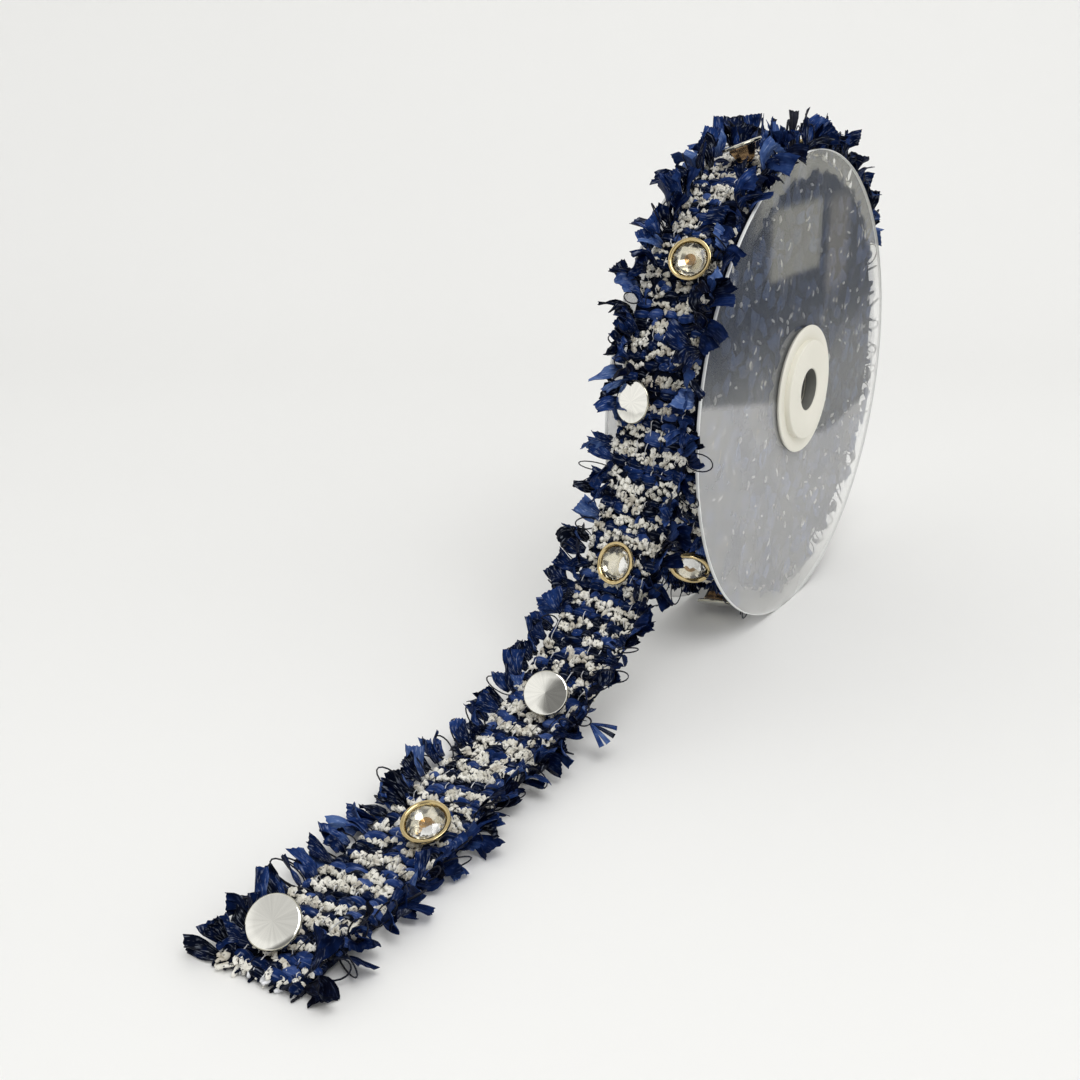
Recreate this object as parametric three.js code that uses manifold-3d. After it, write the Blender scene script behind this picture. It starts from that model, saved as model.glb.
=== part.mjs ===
// A clear reel wound with a fringed tweed trim, with the trim's loose end laid out in front.
// Millimetres, +Z up. The reel's axis runs along X, and the loose end runs off along -Y.
// The origin is under the middle of the whole object, on the surface that it stands on.
import * as THREE from 'three';
import { mergeVertices } from 'three/addons/utils/BufferGeometryUtils.js';
import Module from 'manifold-3d';

const wasm = await Module();
wasm.setup();

// Clear flanges of the reel
const REEL_RADIUS = 60;
const REST_FLAT = 0.15;
const AXIS_HEIGHT = REEL_RADIUS - REST_FLAT;
const FLANGE_THICKNESS = 0.8;
const FLANGE_INSIDE = 11.4;
const FLANGE_OUTSIDE = FLANGE_INSIDE + FLANGE_THICKNESS;
const SEAT_GAP = 0.3;

// Moulded core and its two stepped caps
const BORE_RADIUS = 5.4;
const BOSS_RADIUS = 10;
const CORE_RADIUS = 15.5;
const CAP_RADIUS = 16.5;
const CAP_STEP_RADIUS = 12.8;
const CAP_BRIM = 0.9;
const CAP_HEIGHT = 2.4;
const CAP_BEVEL = 0.4;
const ROUND_STEPS = 28;
const FLANGE_STEPS = 36;

// Tape, and the roll that it is wound into
const TAPE_THICKNESS = 2;
const TAPE_HALF_WIDTH = 9.4;
const ROLL_INSIDE = CORE_RADIUS + SEAT_GAP;
const ROLL_HALF_WIDTH = FLANGE_INSIDE - 0.4;
const SHOULDER_DEPTH = 2.2;
const LEAVE_ANGLE = 8;
const ROLL_STEP_ANGLE = 4.6;
const TAPE_COLUMNS = [-1, -0.5, 0, 0.5, 1];
const TAPE_STEP = 2.6;
const RIB_PITCH = 7.8;
const RIB_HEIGHT = 0.35;
const SEAT_RADIUS = 5;

// Outer face of the roll, by the angle up and over from the reel's front
const ROLL_OUTLINE = [
  { angle: 8, radius: 58.2 },
  { angle: 60, radius: 58.6 },
  { angle: 115, radius: 58.3 },
  { angle: 165, radius: 57.2 },
  { angle: 215, radius: 55.2 },
  { angle: 270, radius: 53.5 },
  { angle: 325, radius: 54.6 },
  { angle: 367.6, radius: 55.7 },
];

// Middle of the loose end's thickness: distance in front of the axis, height, and sideways sway
const TAIL_PATH = [
  { reach: 56.7, height: 67.3, sway: 0 },
  { reach: 58.3, height: 60.0, sway: 0 },
  { reach: 60.9, height: 52.0, sway: -0.3 },
  { reach: 63.0, height: 44.3, sway: -1.2 },
  { reach: 66.2, height: 37.0, sway: -1.5 },
  { reach: 71.0, height: 30.0, sway: -1.4 },
  { reach: 78.5, height: 22.5, sway: -1.5 },
  { reach: 88.0, height: 16.0, sway: -1.6 },
  { reach: 98.0, height: 10.0, sway: -2.3 },
  { reach: 108.0, height: 5.2, sway: -3.4 },
  { reach: 117.0, height: 2.4, sway: -4.0 },
  { reach: 127.0, height: 1.1, sway: -4.1 },
  { reach: 140.0, height: 1.0, sway: -2.7 },
  { reach: 156.0, height: 1.0, sway: -0.7 },
  { reach: 172.0, height: 1.1, sway: 0.3 },
  { reach: 184.0, height: 1.9, sway: 1.1 },
  { reach: 192.0, height: 2.0, sway: 1.5 },
  { reach: 200.0, height: 1.0, sway: 1.7 },
];

// Twist of the loose end: a positive bank lifts the edge towards +X
const TAIL_BANK = [
  { along: 0, bank: 0 },
  { along: 60, bank: 0 },
  { along: 90, bank: 6 },
  { along: 115, bank: 3 },
  { along: 150, bank: 0 },
  { along: 185, bank: 0 },
];

// Studs: place along the trim from where it leaves the roll, place across it towards +X,
// tilt towards the loose end and lean towards +X in degrees
const STUDS = [
  { kind: 'silver', along: 169, across: -2.2, tilt: 37, lean: 10 },
  { kind: 'gold', along: 130.7, across: 3.8, tilt: 24, lean: 2 },
  { kind: 'silver', along: 76.8, across: 1.1, tilt: 27, lean: 18 },
  { kind: 'gold', along: 39.3, across: 2.2, tilt: 15, lean: -11 },
  { kind: 'silver', along: 0.5, across: -2.3, tilt: 0, lean: -15 },
  { kind: 'gold', along: -32.8, across: 2.6, tilt: 13, lean: 9 },
  { kind: 'silver', along: -71, across: 0.7, tilt: -8, lean: -20 },
  { kind: 'gold', along: -109, across: 0.5, tilt: 6, lean: 5 },
  { kind: 'silver', along: -146, across: -0.5, tilt: -5, lean: 8 },
  { kind: 'gold', along: -184, across: 0, tilt: 4, lean: -6 },
  { kind: 'silver', along: -221, across: 0.5, tilt: 8, lean: 4 },
  { kind: 'gold', along: -259, across: 0, tilt: 3, lean: -3 },
  { kind: 'silver', along: -297, across: 0.5, tilt: -6, lean: 8 },
  { kind: 'gold', along: -329.5, across: 4.2, tilt: -8, lean: 14 },
];
const STUD_RADIUS = 5;
const FOOT_DIP = 0.72;
const STUD_STEPS = 14;
const CRYSTAL_STEPS = 8;

// Fringe: locks of flat yarn on a narrow strip along each edge of the tape
const STRIP_INSIDE = TAPE_HALF_WIDTH + SEAT_GAP;
const STRIP_OUTSIDE = STRIP_INSIDE + 1.1;
const STRIP_DEPTH = 1.7;
const STRIP_STEP = 6;
const LOCK_PITCH = 5.2;
const LOCK_LENGTH = 7;
const LOCK_ROOT_WIDTH = 1.3;
const LOCK_TIP_WIDTH = 3.8;
const LOCK_THICKNESS = 0.8;
const LOCK_ROOT_DEPTH = 0.6;
const LOCK_RISE = 2.2;
const FLOOR_CLEARANCE = 0.02;
const FIRST_SEED = 11;
const SEED_STEP = 3;

// Runs of the fringe along the trim, each short enough to bend little
const FRINGE_RUNS = [
  { name: 'front', from: -5, to: -85, rise: LOCK_RISE },
  { name: 'back', from: -86, to: -168, rise: LOCK_RISE },
  { name: 'lower', from: -169, to: -250, rise: 0 },
  { name: 'under', from: -251, to: -335, rise: 0 },
  { name: 'hang', from: 3, to: 44, rise: 0 },
  { name: 'bend', from: 45, to: 84, rise: 0 },
  { name: 'land', from: 85, to: 112, rise: 0 },
  { name: 'floor', from: 113, to: 178, rise: 0 },
];

const MATERIALS = {
  clear: { color: 0xc9d0d6, roughness: 0.08, metalness: 0, transparent: true, opacity: 0.35 },
  ivory: { color: 0xe9e5da, roughness: 0.45, metalness: 0 },
  tweed: { color: 0x6f7486, roughness: 0.95, metalness: 0 },
  ribbon: { color: 0x14265c, roughness: 0.6, metalness: 0 },
  silver: { color: 0xe2e0da, roughness: 0.08, metalness: 1 },
  gold: { color: 0xc9a45c, roughness: 0.2, metalness: 1 },
  crystal: { color: 0xe8e4d8, roughness: 0.02, metalness: 0, transparent: true, opacity: 0.5 },
};

const group = new THREE.Group();

function addPiece(name, materialName, geometry) {
  const mesh = new THREE.Mesh(geometry, new THREE.MeshStandardMaterial(MATERIALS[materialName]));
  mesh.name = name;
  group.add(mesh);
  return mesh;
}

// Seeded numbers from 0 to 1, the same on every run
function seededNumbers(seed) {
  let state = seed;
  return () => {
    state = (state + 0x6d2b79f5) | 0;
    let t = Math.imul(state ^ (state >>> 15), 1 | state);
    t = (t + Math.imul(t ^ (t >>> 7), 61 | t)) ^ t;
    return ((t ^ (t >>> 14)) >>> 0) / 4294967296;
  };
}

// Smooth value between the rows of a table that rises in the column named by key
function readTable(table, key, column, at) {
  const next = table.findIndex((row) => row[key] >= at);
  if (next < 0) return table[table.length - 1][column];
  if (next === 0) return table[0][column];
  const before = table[next - 1];
  const after = table[next];
  const share = THREE.MathUtils.smoothstep(at, before[key], after[key]);
  return THREE.MathUtils.lerp(before[column], after[column], share);
}

// Frame of the trim on the roll: side is +X, normal points out, tangent to the loose end
function rollFrame(angle) {
  const turn = THREE.MathUtils.degToRad(angle);
  const normal = new THREE.Vector3(0, -Math.cos(turn), Math.sin(turn));
  const tangent = new THREE.Vector3(0, -Math.sin(turn), -Math.cos(turn));
  const radius = readTable(ROLL_OUTLINE, 'angle', 'radius', angle) - TAPE_THICKNESS / 2;
  const origin = new THREE.Vector3(0, 0, AXIS_HEIGHT).addScaledVector(normal, radius);
  return { origin, side: new THREE.Vector3(1, 0, 0), normal, tangent };
}

const tailCurve = new THREE.CatmullRomCurve3(
  TAIL_PATH.map((row) => new THREE.Vector3(row.sway, -row.reach, row.height)),
  false,
  'centripetal',
);
tailCurve.arcLengthDivisions = 2000;
const TAIL_LENGTH = tailCurve.getLength();

// Frame of the loose end, banked about its own run
function tailFrame(along) {
  const share = THREE.MathUtils.clamp(along / TAIL_LENGTH, 0, 1);
  const origin = tailCurve.getPointAt(share);
  const tangent = tailCurve.getTangentAt(share);
  const bank = THREE.MathUtils.degToRad(readTable(TAIL_BANK, 'along', 'bank', along));
  const normal = new THREE.Vector3().crossVectors(tangent, new THREE.Vector3(1, 0, 0)).normalize();
  normal.applyAxisAngle(tangent, bank);
  const side = new THREE.Vector3().crossVectors(normal, tangent);
  const lowest = origin.z - TAPE_HALF_WIDTH * Math.abs(side.z) - (TAPE_THICKNESS / 2) * normal.z;
  origin.z += Math.max(0, -lowest);
  return { origin, side, normal, tangent };
}

// The whole outer turn and the loose end as one run, measured from where the trim leaves the roll
function trimFrame(along) {
  if (along >= 0) return tailFrame(along);
  return rollFrame(LEAVE_ANGLE - THREE.MathUtils.radToDeg(along / REEL_RADIUS));
}

function pointOn(frame, across, outward) {
  return frame.origin.clone().addScaledVector(frame.side, across).addScaledVector(frame.normal, outward);
}

// Crosswise ribs of the tweed, drawn down flat where a stud is fixed
function tweedRelief(along, across) {
  const wave = Math.sin((2 * Math.PI * along) / RIB_PITCH + 0.9 * Math.sin(0.31 * across + 0.23 * along));
  const slow = 0.5 * Math.sin(0.11 * along + 0.4 * across);
  const nearest = Math.min(...STUDS.map((stud) => Math.hypot(along - stud.along, across - stud.across)));
  const fade = THREE.MathUtils.smoothstep(nearest, SEAT_RADIUS * 0.7, SEAT_RADIUS);
  return RIB_HEIGHT * (wave + slow - 1.2) * fade;
}

function signedVolume(positions, faces) {
  let total = 0;
  for (const [a, b, c] of faces) {
    total += positions[a].dot(new THREE.Vector3().crossVectors(positions[b], positions[c]));
  }
  return total;
}

// Closed body from faces given by their corners, turned to face out
function bodyFrom(positions, faces) {
  const outward = signedVolume(positions, faces) > 0 ? faces : faces.map(([a, b, c]) => [a, c, b]);
  const geometry = new THREE.BufferGeometry().setFromPoints(positions);
  geometry.setIndex(outward.flat());
  geometry.computeVertexNormals();
  return geometry;
}

// Skin over a row of sections, which closes on itself or ends in two flat caps
function loft(sections, closed) {
  const size = sections[0].length;
  const faces = [];
  const last = closed ? sections.length : sections.length - 1;
  for (let i = 0; i < last; i += 1) {
    const here = i * size;
    const there = ((i + 1) % sections.length) * size;
    for (let j = 0; j < size; j += 1) {
      const k = (j + 1) % size;
      faces.push([here + j, there + j, there + k], [here + j, there + k, here + k]);
    }
  }
  if (!closed) {
    const end = (sections.length - 1) * size;
    for (let j = 1; j < size - 1; j += 1) {
      faces.push([0, j, j + 1], [end, end + j + 1, end + j]);
    }
  }
  return bodyFrom(sections.flat(), faces);
}

function solidFrom(geometry) {
  const bare = geometry.clone();
  bare.deleteAttribute('normal');
  bare.deleteAttribute('uv');
  const merged = mergeVertices(bare);
  return new wasm.Manifold(new wasm.Mesh({
    numProp: 3,
    vertProperties: merged.attributes.position.array,
    triVerts: new Uint32Array(merged.index.array),
  }));
}

function geometryFrom(solid) {
  const mesh = solid.getMesh();
  const geometry = new THREE.BufferGeometry();
  geometry.setAttribute('position', new THREE.BufferAttribute(mesh.vertProperties, 3));
  geometry.setIndex(new THREE.BufferAttribute(mesh.triVerts, 1));
  geometry.computeVertexNormals();
  return geometry;
}

// Thin disc with the core's hole and one small flat to stand on
function addFlange(name, insideFace) {
  const flatHalfAngle = Math.acos(AXIS_HEIGHT / REEL_RADIUS);
  const start = -Math.PI / 2 + flatHalfAngle;
  const outline = new THREE.Shape();
  outline.absarc(0, 0, REEL_RADIUS, start, start + 2 * (Math.PI - flatHalfAngle), false);
  outline.closePath();
  const hole = new THREE.Path();
  hole.absarc(0, 0, BOSS_RADIUS + SEAT_GAP, 0, 2 * Math.PI, true);
  outline.holes.push(hole);
  const options = { depth: FLANGE_THICKNESS, bevelEnabled: false, curveSegments: FLANGE_STEPS };
  const geometry = new THREE.ExtrudeGeometry(outline, options);
  geometry.rotateX(Math.PI / 2);
  geometry.rotateZ(Math.PI / 2);
  const flange = addPiece(name, 'clear', geometry);
  flange.position.set(insideFace, 0, AXIS_HEIGHT);
}

// Turned piece on the reel's axis from a profile of [radius, distance along +X]
function turnedOnAxis(profile) {
  const points = profile.map(([radius, x]) => new THREE.Vector2(radius, x));
  const geometry = new THREE.LatheGeometry([...points, points[0]], ROUND_STEPS);
  geometry.rotateZ(-Math.PI / 2);
  return geometry;
}

function addCore() {
  const half = FLANGE_INSIDE - SEAT_GAP;
  const profile = [[BORE_RADIUS, -half], [CORE_RADIUS, -half], [CORE_RADIUS, half], [BORE_RADIUS, half]];
  addPiece('core', 'ivory', turnedOnAxis(profile)).position.z = AXIS_HEIGHT;
}

// Stepped cap on a flange's outer face, with a boss through the flange to the core
function addHubCap(name, towards) {
  const seat = FLANGE_OUTSIDE + SEAT_GAP;
  const top = FLANGE_OUTSIDE + CAP_HEIGHT;
  const profile = [
    [BORE_RADIUS, FLANGE_INSIDE],
    [BOSS_RADIUS, FLANGE_INSIDE],
    [BOSS_RADIUS, seat],
    [CAP_RADIUS, seat],
    [CAP_RADIUS, seat + CAP_BRIM],
    [CAP_STEP_RADIUS, seat + CAP_BRIM],
    [CAP_STEP_RADIUS, top - CAP_BEVEL],
    [CAP_STEP_RADIUS - CAP_BEVEL, top],
    [BORE_RADIUS, top],
  ];
  const cap = addPiece(name, 'ivory', turnedOnAxis(profile));
  cap.position.z = AXIS_HEIGHT;
  cap.rotation.z = towards > 0 ? 0 : Math.PI;
}

// The wound trim: a ring whose outer turn is narrower, which leaves a shoulder for the fringe
function addRoll() {
  const first = ROLL_OUTLINE[0].angle;
  const last = ROLL_OUTLINE[ROLL_OUTLINE.length - 1].angle;
  const count = Math.round((last - first) / ROLL_STEP_ANGLE);
  const sections = [];
  for (let i = 0; i <= count; i += 1) {
    const angle = first + ((last - first) * i) / count;
    const along = -THREE.MathUtils.degToRad(angle - LEAVE_ANGLE) * REEL_RADIUS;
    const frame = rollFrame(angle);
    const top = TAPE_THICKNESS / 2;
    const inside = top - (readTable(ROLL_OUTLINE, 'angle', 'radius', angle) - ROLL_INSIDE);
    const face = TAPE_COLUMNS.map((share) => {
      const across = share * TAPE_HALF_WIDTH;
      return pointOn(frame, across, top + tweedRelief(along, across));
    });
    sections.push([
      pointOn(frame, -ROLL_HALF_WIDTH, inside),
      pointOn(frame, -ROLL_HALF_WIDTH, top - SHOULDER_DEPTH),
      pointOn(frame, -TAPE_HALF_WIDTH, top - SHOULDER_DEPTH),
      ...face,
      pointOn(frame, TAPE_HALF_WIDTH, top - SHOULDER_DEPTH),
      pointOn(frame, ROLL_HALF_WIDTH, top - SHOULDER_DEPTH),
      pointOn(frame, ROLL_HALF_WIDTH, inside),
    ]);
  }
  addPiece('roll', 'tweed', loft(sections, true));
}

// The loose end as a sheet, with its crosswise ribs on the upper face
function addTail() {
  const count = Math.round(TAIL_LENGTH / TAPE_STEP);
  const sections = [];
  for (let i = 0; i <= count; i += 1) {
    const along = (TAIL_LENGTH * i) / count;
    const frame = tailFrame(along);
    const face = TAPE_COLUMNS.map((share) => {
      const across = share * TAPE_HALF_WIDTH;
      return pointOn(frame, across, TAPE_THICKNESS / 2 + tweedRelief(along, across));
    });
    sections.push([
      pointOn(frame, -TAPE_HALF_WIDTH, -TAPE_THICKNESS / 2),
      ...face,
      pointOn(frame, TAPE_HALF_WIDTH, -TAPE_THICKNESS / 2),
    ]);
  }
  addPiece('tail', 'tweed', loft(sections, false));
}

// Narrow strip beside the tape's edge that holds the roots of the locks
function stripSolid(from, to, edge) {
  const count = Math.max(1, Math.round(Math.abs(to - from) / STRIP_STEP));
  const sections = [];
  for (let i = 0; i <= count; i += 1) {
    const frame = trimFrame(from + ((to - from) * i) / count);
    const top = TAPE_THICKNESS / 2 - 0.1;
    sections.push([
      pointOn(frame, edge * STRIP_INSIDE, top - STRIP_DEPTH),
      pointOn(frame, edge * STRIP_OUTSIDE, top - STRIP_DEPTH),
      pointOn(frame, edge * STRIP_OUTSIDE, top),
      pointOn(frame, edge * STRIP_INSIDE, top),
    ]);
  }
  return solidFrom(loft(sections, false));
}

function isClearOfFlanges(point) {
  const offset = Math.abs(point.x);
  if (offset < FLANGE_INSIDE - SEAT_GAP || offset > FLANGE_OUTSIDE + SEAT_GAP) return true;
  return Math.hypot(point.y, point.z - AXIS_HEIGHT) > REEL_RADIUS + SEAT_GAP;
}

// Corners of a flat lock, four to a section, that flares from its root to its tip
function lockCorners(centres, direction, width) {
  const thick = new THREE.Vector3().crossVectors(direction, width).multiplyScalar(LOCK_THICKNESS / 2);
  return centres.flatMap((centre, index) => {
    const share = index / (centres.length - 1);
    const breadth = THREE.MathUtils.lerp(LOCK_ROOT_WIDTH, LOCK_TIP_WIDTH, share * share);
    return [[-1, -1], [1, -1], [1, 1], [-1, 1]].map(([u, v]) => (
      centre.clone().addScaledVector(width, (u * breadth) / 2).addScaledVector(thick, v)));
  });
}

function restOnFloor(corners) {
  const tips = corners.slice(-4);
  const lowest = Math.min(...tips.map((corner) => corner.z));
  const lift = Math.max(0, FLOOR_CLEARANCE - lowest);
  tips.forEach((corner) => { corner.z += lift; });
}

function sectionsOf(corners) {
  return Array.from({ length: corners.length / 4 }, (_, index) => corners.slice(index * 4, index * 4 + 4));
}

function passesOutside(corners) {
  const sections = sectionsOf(corners);
  return sections.slice(1).every((section, index) => [0.25, 0.5, 0.75, 1].every((share) => (
    section.every((corner, j) => isClearOfFlanges(sections[index][j].clone().lerp(corner, share))))));
}

// One lock. It first rises straight up, which takes it past a flange's rim, and is drawn in
// towards the tape until it passes outside the flanges. Its sweep along the trim is free, or has
// the sign of keepTo at the ends of a strip.
function lockSolid(frame, edge, rise, random, keepTo) {
  const across = edge * (STRIP_INSIDE + STRIP_OUTSIDE) / 2;
  const root = pointOn(frame, across, TAPE_THICKNESS / 2 - LOCK_ROOT_DEPTH);
  const elbow = root.clone().addScaledVector(frame.normal, rise);
  const length = LOCK_LENGTH * (0.72 + 0.5 * random()) - rise;
  const freeSweep = THREE.MathUtils.degToRad(50 * (random() - 0.5));
  const sweep = keepTo === 0 ? freeSweep : keepTo * Math.abs(freeSweep);
  let spread = THREE.MathUtils.degToRad(25 + 60 * random());
  let twist = THREE.MathUtils.degToRad(100 * (random() - 0.5));
  let corners;
  for (let clear = false; !clear; spread *= 0.85, twist *= 0.85) {
    const direction = frame.normal.clone().multiplyScalar(Math.cos(spread));
    direction.addScaledVector(frame.side, edge * Math.sin(spread));
    direction.multiplyScalar(Math.cos(sweep)).addScaledVector(frame.tangent, Math.sin(sweep)).normalize();
    const width = frame.tangent.clone().addScaledVector(direction, -frame.tangent.dot(direction));
    width.normalize().applyAxisAngle(direction, twist);
    const tip = elbow.clone().addScaledVector(direction, length);
    corners = lockCorners(rise > 0 ? [root, elbow, tip] : [root, tip], direction, width);
    restOnFloor(corners);
    clear = passesOutside(corners);
  }
  return solidFrom(loft(sectionsOf(corners), false));
}

function addFringe(name, run, edge, seed) {
  const { from, to, rise } = run;
  const random = seededNumbers(seed);
  const count = Math.round(Math.abs(to - from) / LOCK_PITCH);
  const onwards = Math.sign(to - from);
  const parts = [stripSolid(from, to, edge)];
  for (let i = 0; i < count; i += 1) {
    const along = from + ((to - from) * (i + 0.35 + 0.3 * random())) / count;
    const keepTo = (i === 0) * onwards - (i === count - 1) * onwards;
    parts.push(lockSolid(trimFrame(along), edge, rise, random, keepTo));
  }
  addPiece(name, 'ribbon', geometryFrom(wasm.Manifold.union(parts)));
}

function addFringes() {
  for (const [label, edge] of [['near', 1], ['far', -1]]) {
    FRINGE_RUNS.forEach((run, index) => {
      addFringe(`fringe_${run.name}_${label}`, run, edge, FIRST_SEED + index * SEED_STEP + edge);
    });
  }
}

// Stud profiles from the foot up the axis, as [radius, height]
const SILVER_PROFILE = [
  [0, 0],
  [1.2, 0.25],
  [1.9, 0.9],
  [3.3, 4.1],
  [4.8, 4.3],
  [STUD_RADIUS, 4.6],
  [STUD_RADIUS - 0.5, 5.1],
  [0, 5.3],
];
const CUP_PROFILE = [
  [0, 0],
  [1.1, 0.25],
  [1.5, 0.9],
  [1.7, 2.2],
  [3.4, 2.6],
  [4.6, 3.6],
  [STUD_RADIUS, 4.7],
  [STUD_RADIUS - 0.3, 5.1],
  [4.2, 4.9],
  [3.9, 3.8],
  [0, 3.4],
];
const CRYSTAL_PROFILE = [
  [0, 3.8],
  [3.5, 4.35],
  [3.85, 4.7],
  [2.4, 5.5],
  [0, 5.5],
];

function turnedUpright(profile, steps) {
  return new THREE.LatheGeometry(profile.map(([radius, y]) => new THREE.Vector2(radius, y)), steps);
}

// Stands a turned piece on the trim's face at a stud's place, leaning as that stud does
function placeOnTrim(mesh, stud) {
  const frame = trimFrame(stud.along);
  const tilt = THREE.MathUtils.degToRad(stud.tilt);
  const lean = THREE.MathUtils.degToRad(stud.lean);
  const axis = frame.normal.clone().multiplyScalar(Math.cos(tilt) * Math.cos(lean));
  axis.addScaledVector(frame.tangent, Math.sin(tilt) * Math.cos(lean));
  axis.addScaledVector(frame.side, Math.sin(lean));
  const lift = FOOT_DIP * Math.hypot(Math.sin(tilt), Math.sin(lean));
  mesh.quaternion.setFromUnitVectors(new THREE.Vector3(0, 1, 0), axis);
  mesh.position.copy(pointOn(frame, stud.across, TAPE_THICKNESS / 2 + SEAT_GAP + lift));
}

function addStuds() {
  STUDS.forEach((stud, index) => {
    const number = index + 1;
    if (stud.kind === 'silver') {
      const disc = turnedUpright(SILVER_PROFILE, STUD_STEPS);
      placeOnTrim(addPiece(`stud_silver_${number}`, 'silver', disc), stud);
      return;
    }
    const cup = turnedUpright(CUP_PROFILE, STUD_STEPS);
    const crystal = turnedUpright(CRYSTAL_PROFILE, CRYSTAL_STEPS);
    placeOnTrim(addPiece(`stud_cup_${number}`, 'gold', cup), stud);
    placeOnTrim(addPiece(`stud_crystal_${number}`, 'crystal', crystal), stud);
  });
}

addFlange('flange_near', FLANGE_INSIDE);
addFlange('flange_far', -FLANGE_OUTSIDE);
addCore();
addHubCap('hub_cap_near', 1);
addHubCap('hub_cap_far', -1);
addRoll();
addTail();
addFringes();
addStuds();

// The origin goes under the middle of the whole object
group.updateMatrixWorld(true);
const extent = new THREE.Box3().setFromObject(group, true);
const middle = extent.getCenter(new THREE.Vector3());
group.position.set(-middle.x, -middle.y, -extent.min.z);

export default group;
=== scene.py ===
# A fringed tweed trim with studs, wound on a clear reel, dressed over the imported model.
# Metres, +Z up. "along" runs down the trim from where it leaves the roll and is negative on the
# roll, "across" runs towards +X, and "outward" leaves the trim's upper face.
import math

import bpy
import numpy as np
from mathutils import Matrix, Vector


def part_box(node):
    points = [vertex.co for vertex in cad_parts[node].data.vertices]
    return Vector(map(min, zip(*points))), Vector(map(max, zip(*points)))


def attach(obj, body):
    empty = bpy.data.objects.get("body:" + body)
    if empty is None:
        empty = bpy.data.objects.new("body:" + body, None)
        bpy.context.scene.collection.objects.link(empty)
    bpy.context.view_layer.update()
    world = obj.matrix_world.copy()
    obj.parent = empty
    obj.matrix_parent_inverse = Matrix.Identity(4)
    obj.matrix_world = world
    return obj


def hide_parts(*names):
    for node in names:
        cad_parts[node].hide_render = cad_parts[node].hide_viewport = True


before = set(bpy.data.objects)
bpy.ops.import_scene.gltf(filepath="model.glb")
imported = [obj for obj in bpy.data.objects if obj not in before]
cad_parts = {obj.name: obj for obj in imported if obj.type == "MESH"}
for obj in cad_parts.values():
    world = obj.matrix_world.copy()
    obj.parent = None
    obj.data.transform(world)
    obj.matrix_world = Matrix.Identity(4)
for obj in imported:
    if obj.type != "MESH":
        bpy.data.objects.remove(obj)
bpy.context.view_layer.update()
MM = 0.001

# Reel
REEL_RADIUS = 60 * MM
FLANGE_INSIDE = 11.4 * MM
FLANGE_OUTSIDE = 12.2 * MM
RIM_ROUND = 0.25 * MM
BORE_RADIUS = 5.4 * MM
BOSS_RADIUS = 10 * MM
CORE_RADIUS = 15.5 * MM
CAP_RADIUS = 16.5 * MM
CAP_STEP_RADIUS = 12.8 * MM
CAP_BRIM_TOP = 13.4 * MM
CAP_TOP = 14.6 * MM
CAP_ROUND = 0.35 * MM
CAP_GROOVE = 0.25 * MM
SEAT_GAP = 0.3 * MM

# Trim
TAPE_HALF_WIDTH = 9.4 * MM
TAPE_HALF_THICKNESS = 1 * MM
ROLL_INSIDE = CORE_RADIUS + SEAT_GAP
ROLL_BODY_HALF_WIDTH = 10.2 * MM
LEAVE_ANGLE = 8
ROLL_START = -364 * MM
BACK_END = -190 * MM
CUT_MARGIN = 0.3 * MM

# Outer face of the roll: angle up and over from the front in degrees, radius in millimetres
ROLL_OUTLINE = (
    (8, 58.2),
    (60, 58.6),
    (115, 58.3),
    (165, 57.2),
    (215, 55.2),
    (270, 53.5),
    (325, 54.6),
    (367.6, 55.7),
)

# Middle of the loose end: reach in front of the axis, height and sideways sway in millimetres
TAIL_PATH = (
    (56.7, 67.3, 0),
    (58.3, 60.0, 0),
    (60.9, 52.0, -0.3),
    (63.0, 44.3, -1.2),
    (66.2, 37.0, -1.5),
    (71.0, 30.0, -1.4),
    (78.5, 22.5, -1.5),
    (88.0, 16.0, -1.6),
    (98.0, 10.0, -2.3),
    (108.0, 5.2, -3.4),
    (117.0, 2.4, -4.0),
    (127.0, 1.1, -4.1),
    (140.0, 1.0, -2.7),
    (156.0, 1.0, -0.7),
    (172.0, 1.1, 0.3),
    (184.0, 1.9, 1.1),
    (192.0, 2.0, 1.5),
    (200.0, 1.0, 1.7),
)

# Twist of the loose end: along in millimetres, bank in degrees
TAIL_BANK = ((0, 0), (60, 0), (90, 6), (115, 3), (150, 0), (185, 0))

# Studs: kind, along and across in millimetres, tilt and lean in degrees
STUDS = (
    ("silver", 169, -2.2, 37, 10),
    ("gold", 130.7, 3.8, 24, 2),
    ("silver", 76.8, 1.1, 27, 18),
    ("gold", 39.3, 2.2, 15, -11),
    ("silver", 0.5, -2.3, 0, -15),
    ("gold", -32.8, 2.6, 13, 9),
    ("silver", -71, 0.7, -8, -20),
    ("gold", -109, 0.5, 6, 5),
    ("silver", -146, -0.5, -5, 8),
    ("gold", -184, 0, 4, -6),
    ("silver", -221, 0.5, 8, 4),
    ("gold", -259, 0, 3, -3),
    ("silver", -297, 0.5, -6, 8),
    ("gold", -329.5, 4.2, -8, 14),
)
FOOT_DIP = 0.72 * MM

_, near_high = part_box("flange_near")
far_low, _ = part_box("flange_far")
cap_low, cap_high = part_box("hub_cap_near")
AXIS = np.array([
    (near_high.x + far_low.x) / 2,
    (cap_low.y + cap_high.y) / 2,
    (cap_low.z + cap_high.z) / 2,
])


def ease(share):
    share = np.clip(share, 0, 1)
    return share * share * (3 - 2 * share)


def unit(vectors):
    return vectors / np.maximum(np.linalg.norm(vectors, axis=-1, keepdims=True), 1e-12)


# Smooth value between the rows of a table of (place, value)
def read_table(rows, at):
    places = np.array([row[0] for row in rows], float)
    values = np.array([row[1] for row in rows], float)
    index = np.clip(np.searchsorted(places, at), 1, len(rows) - 1)
    share = ease((at - places[index - 1]) / (places[index] - places[index - 1]))
    return values[index - 1] + (values[index] - values[index - 1]) * share


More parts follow.
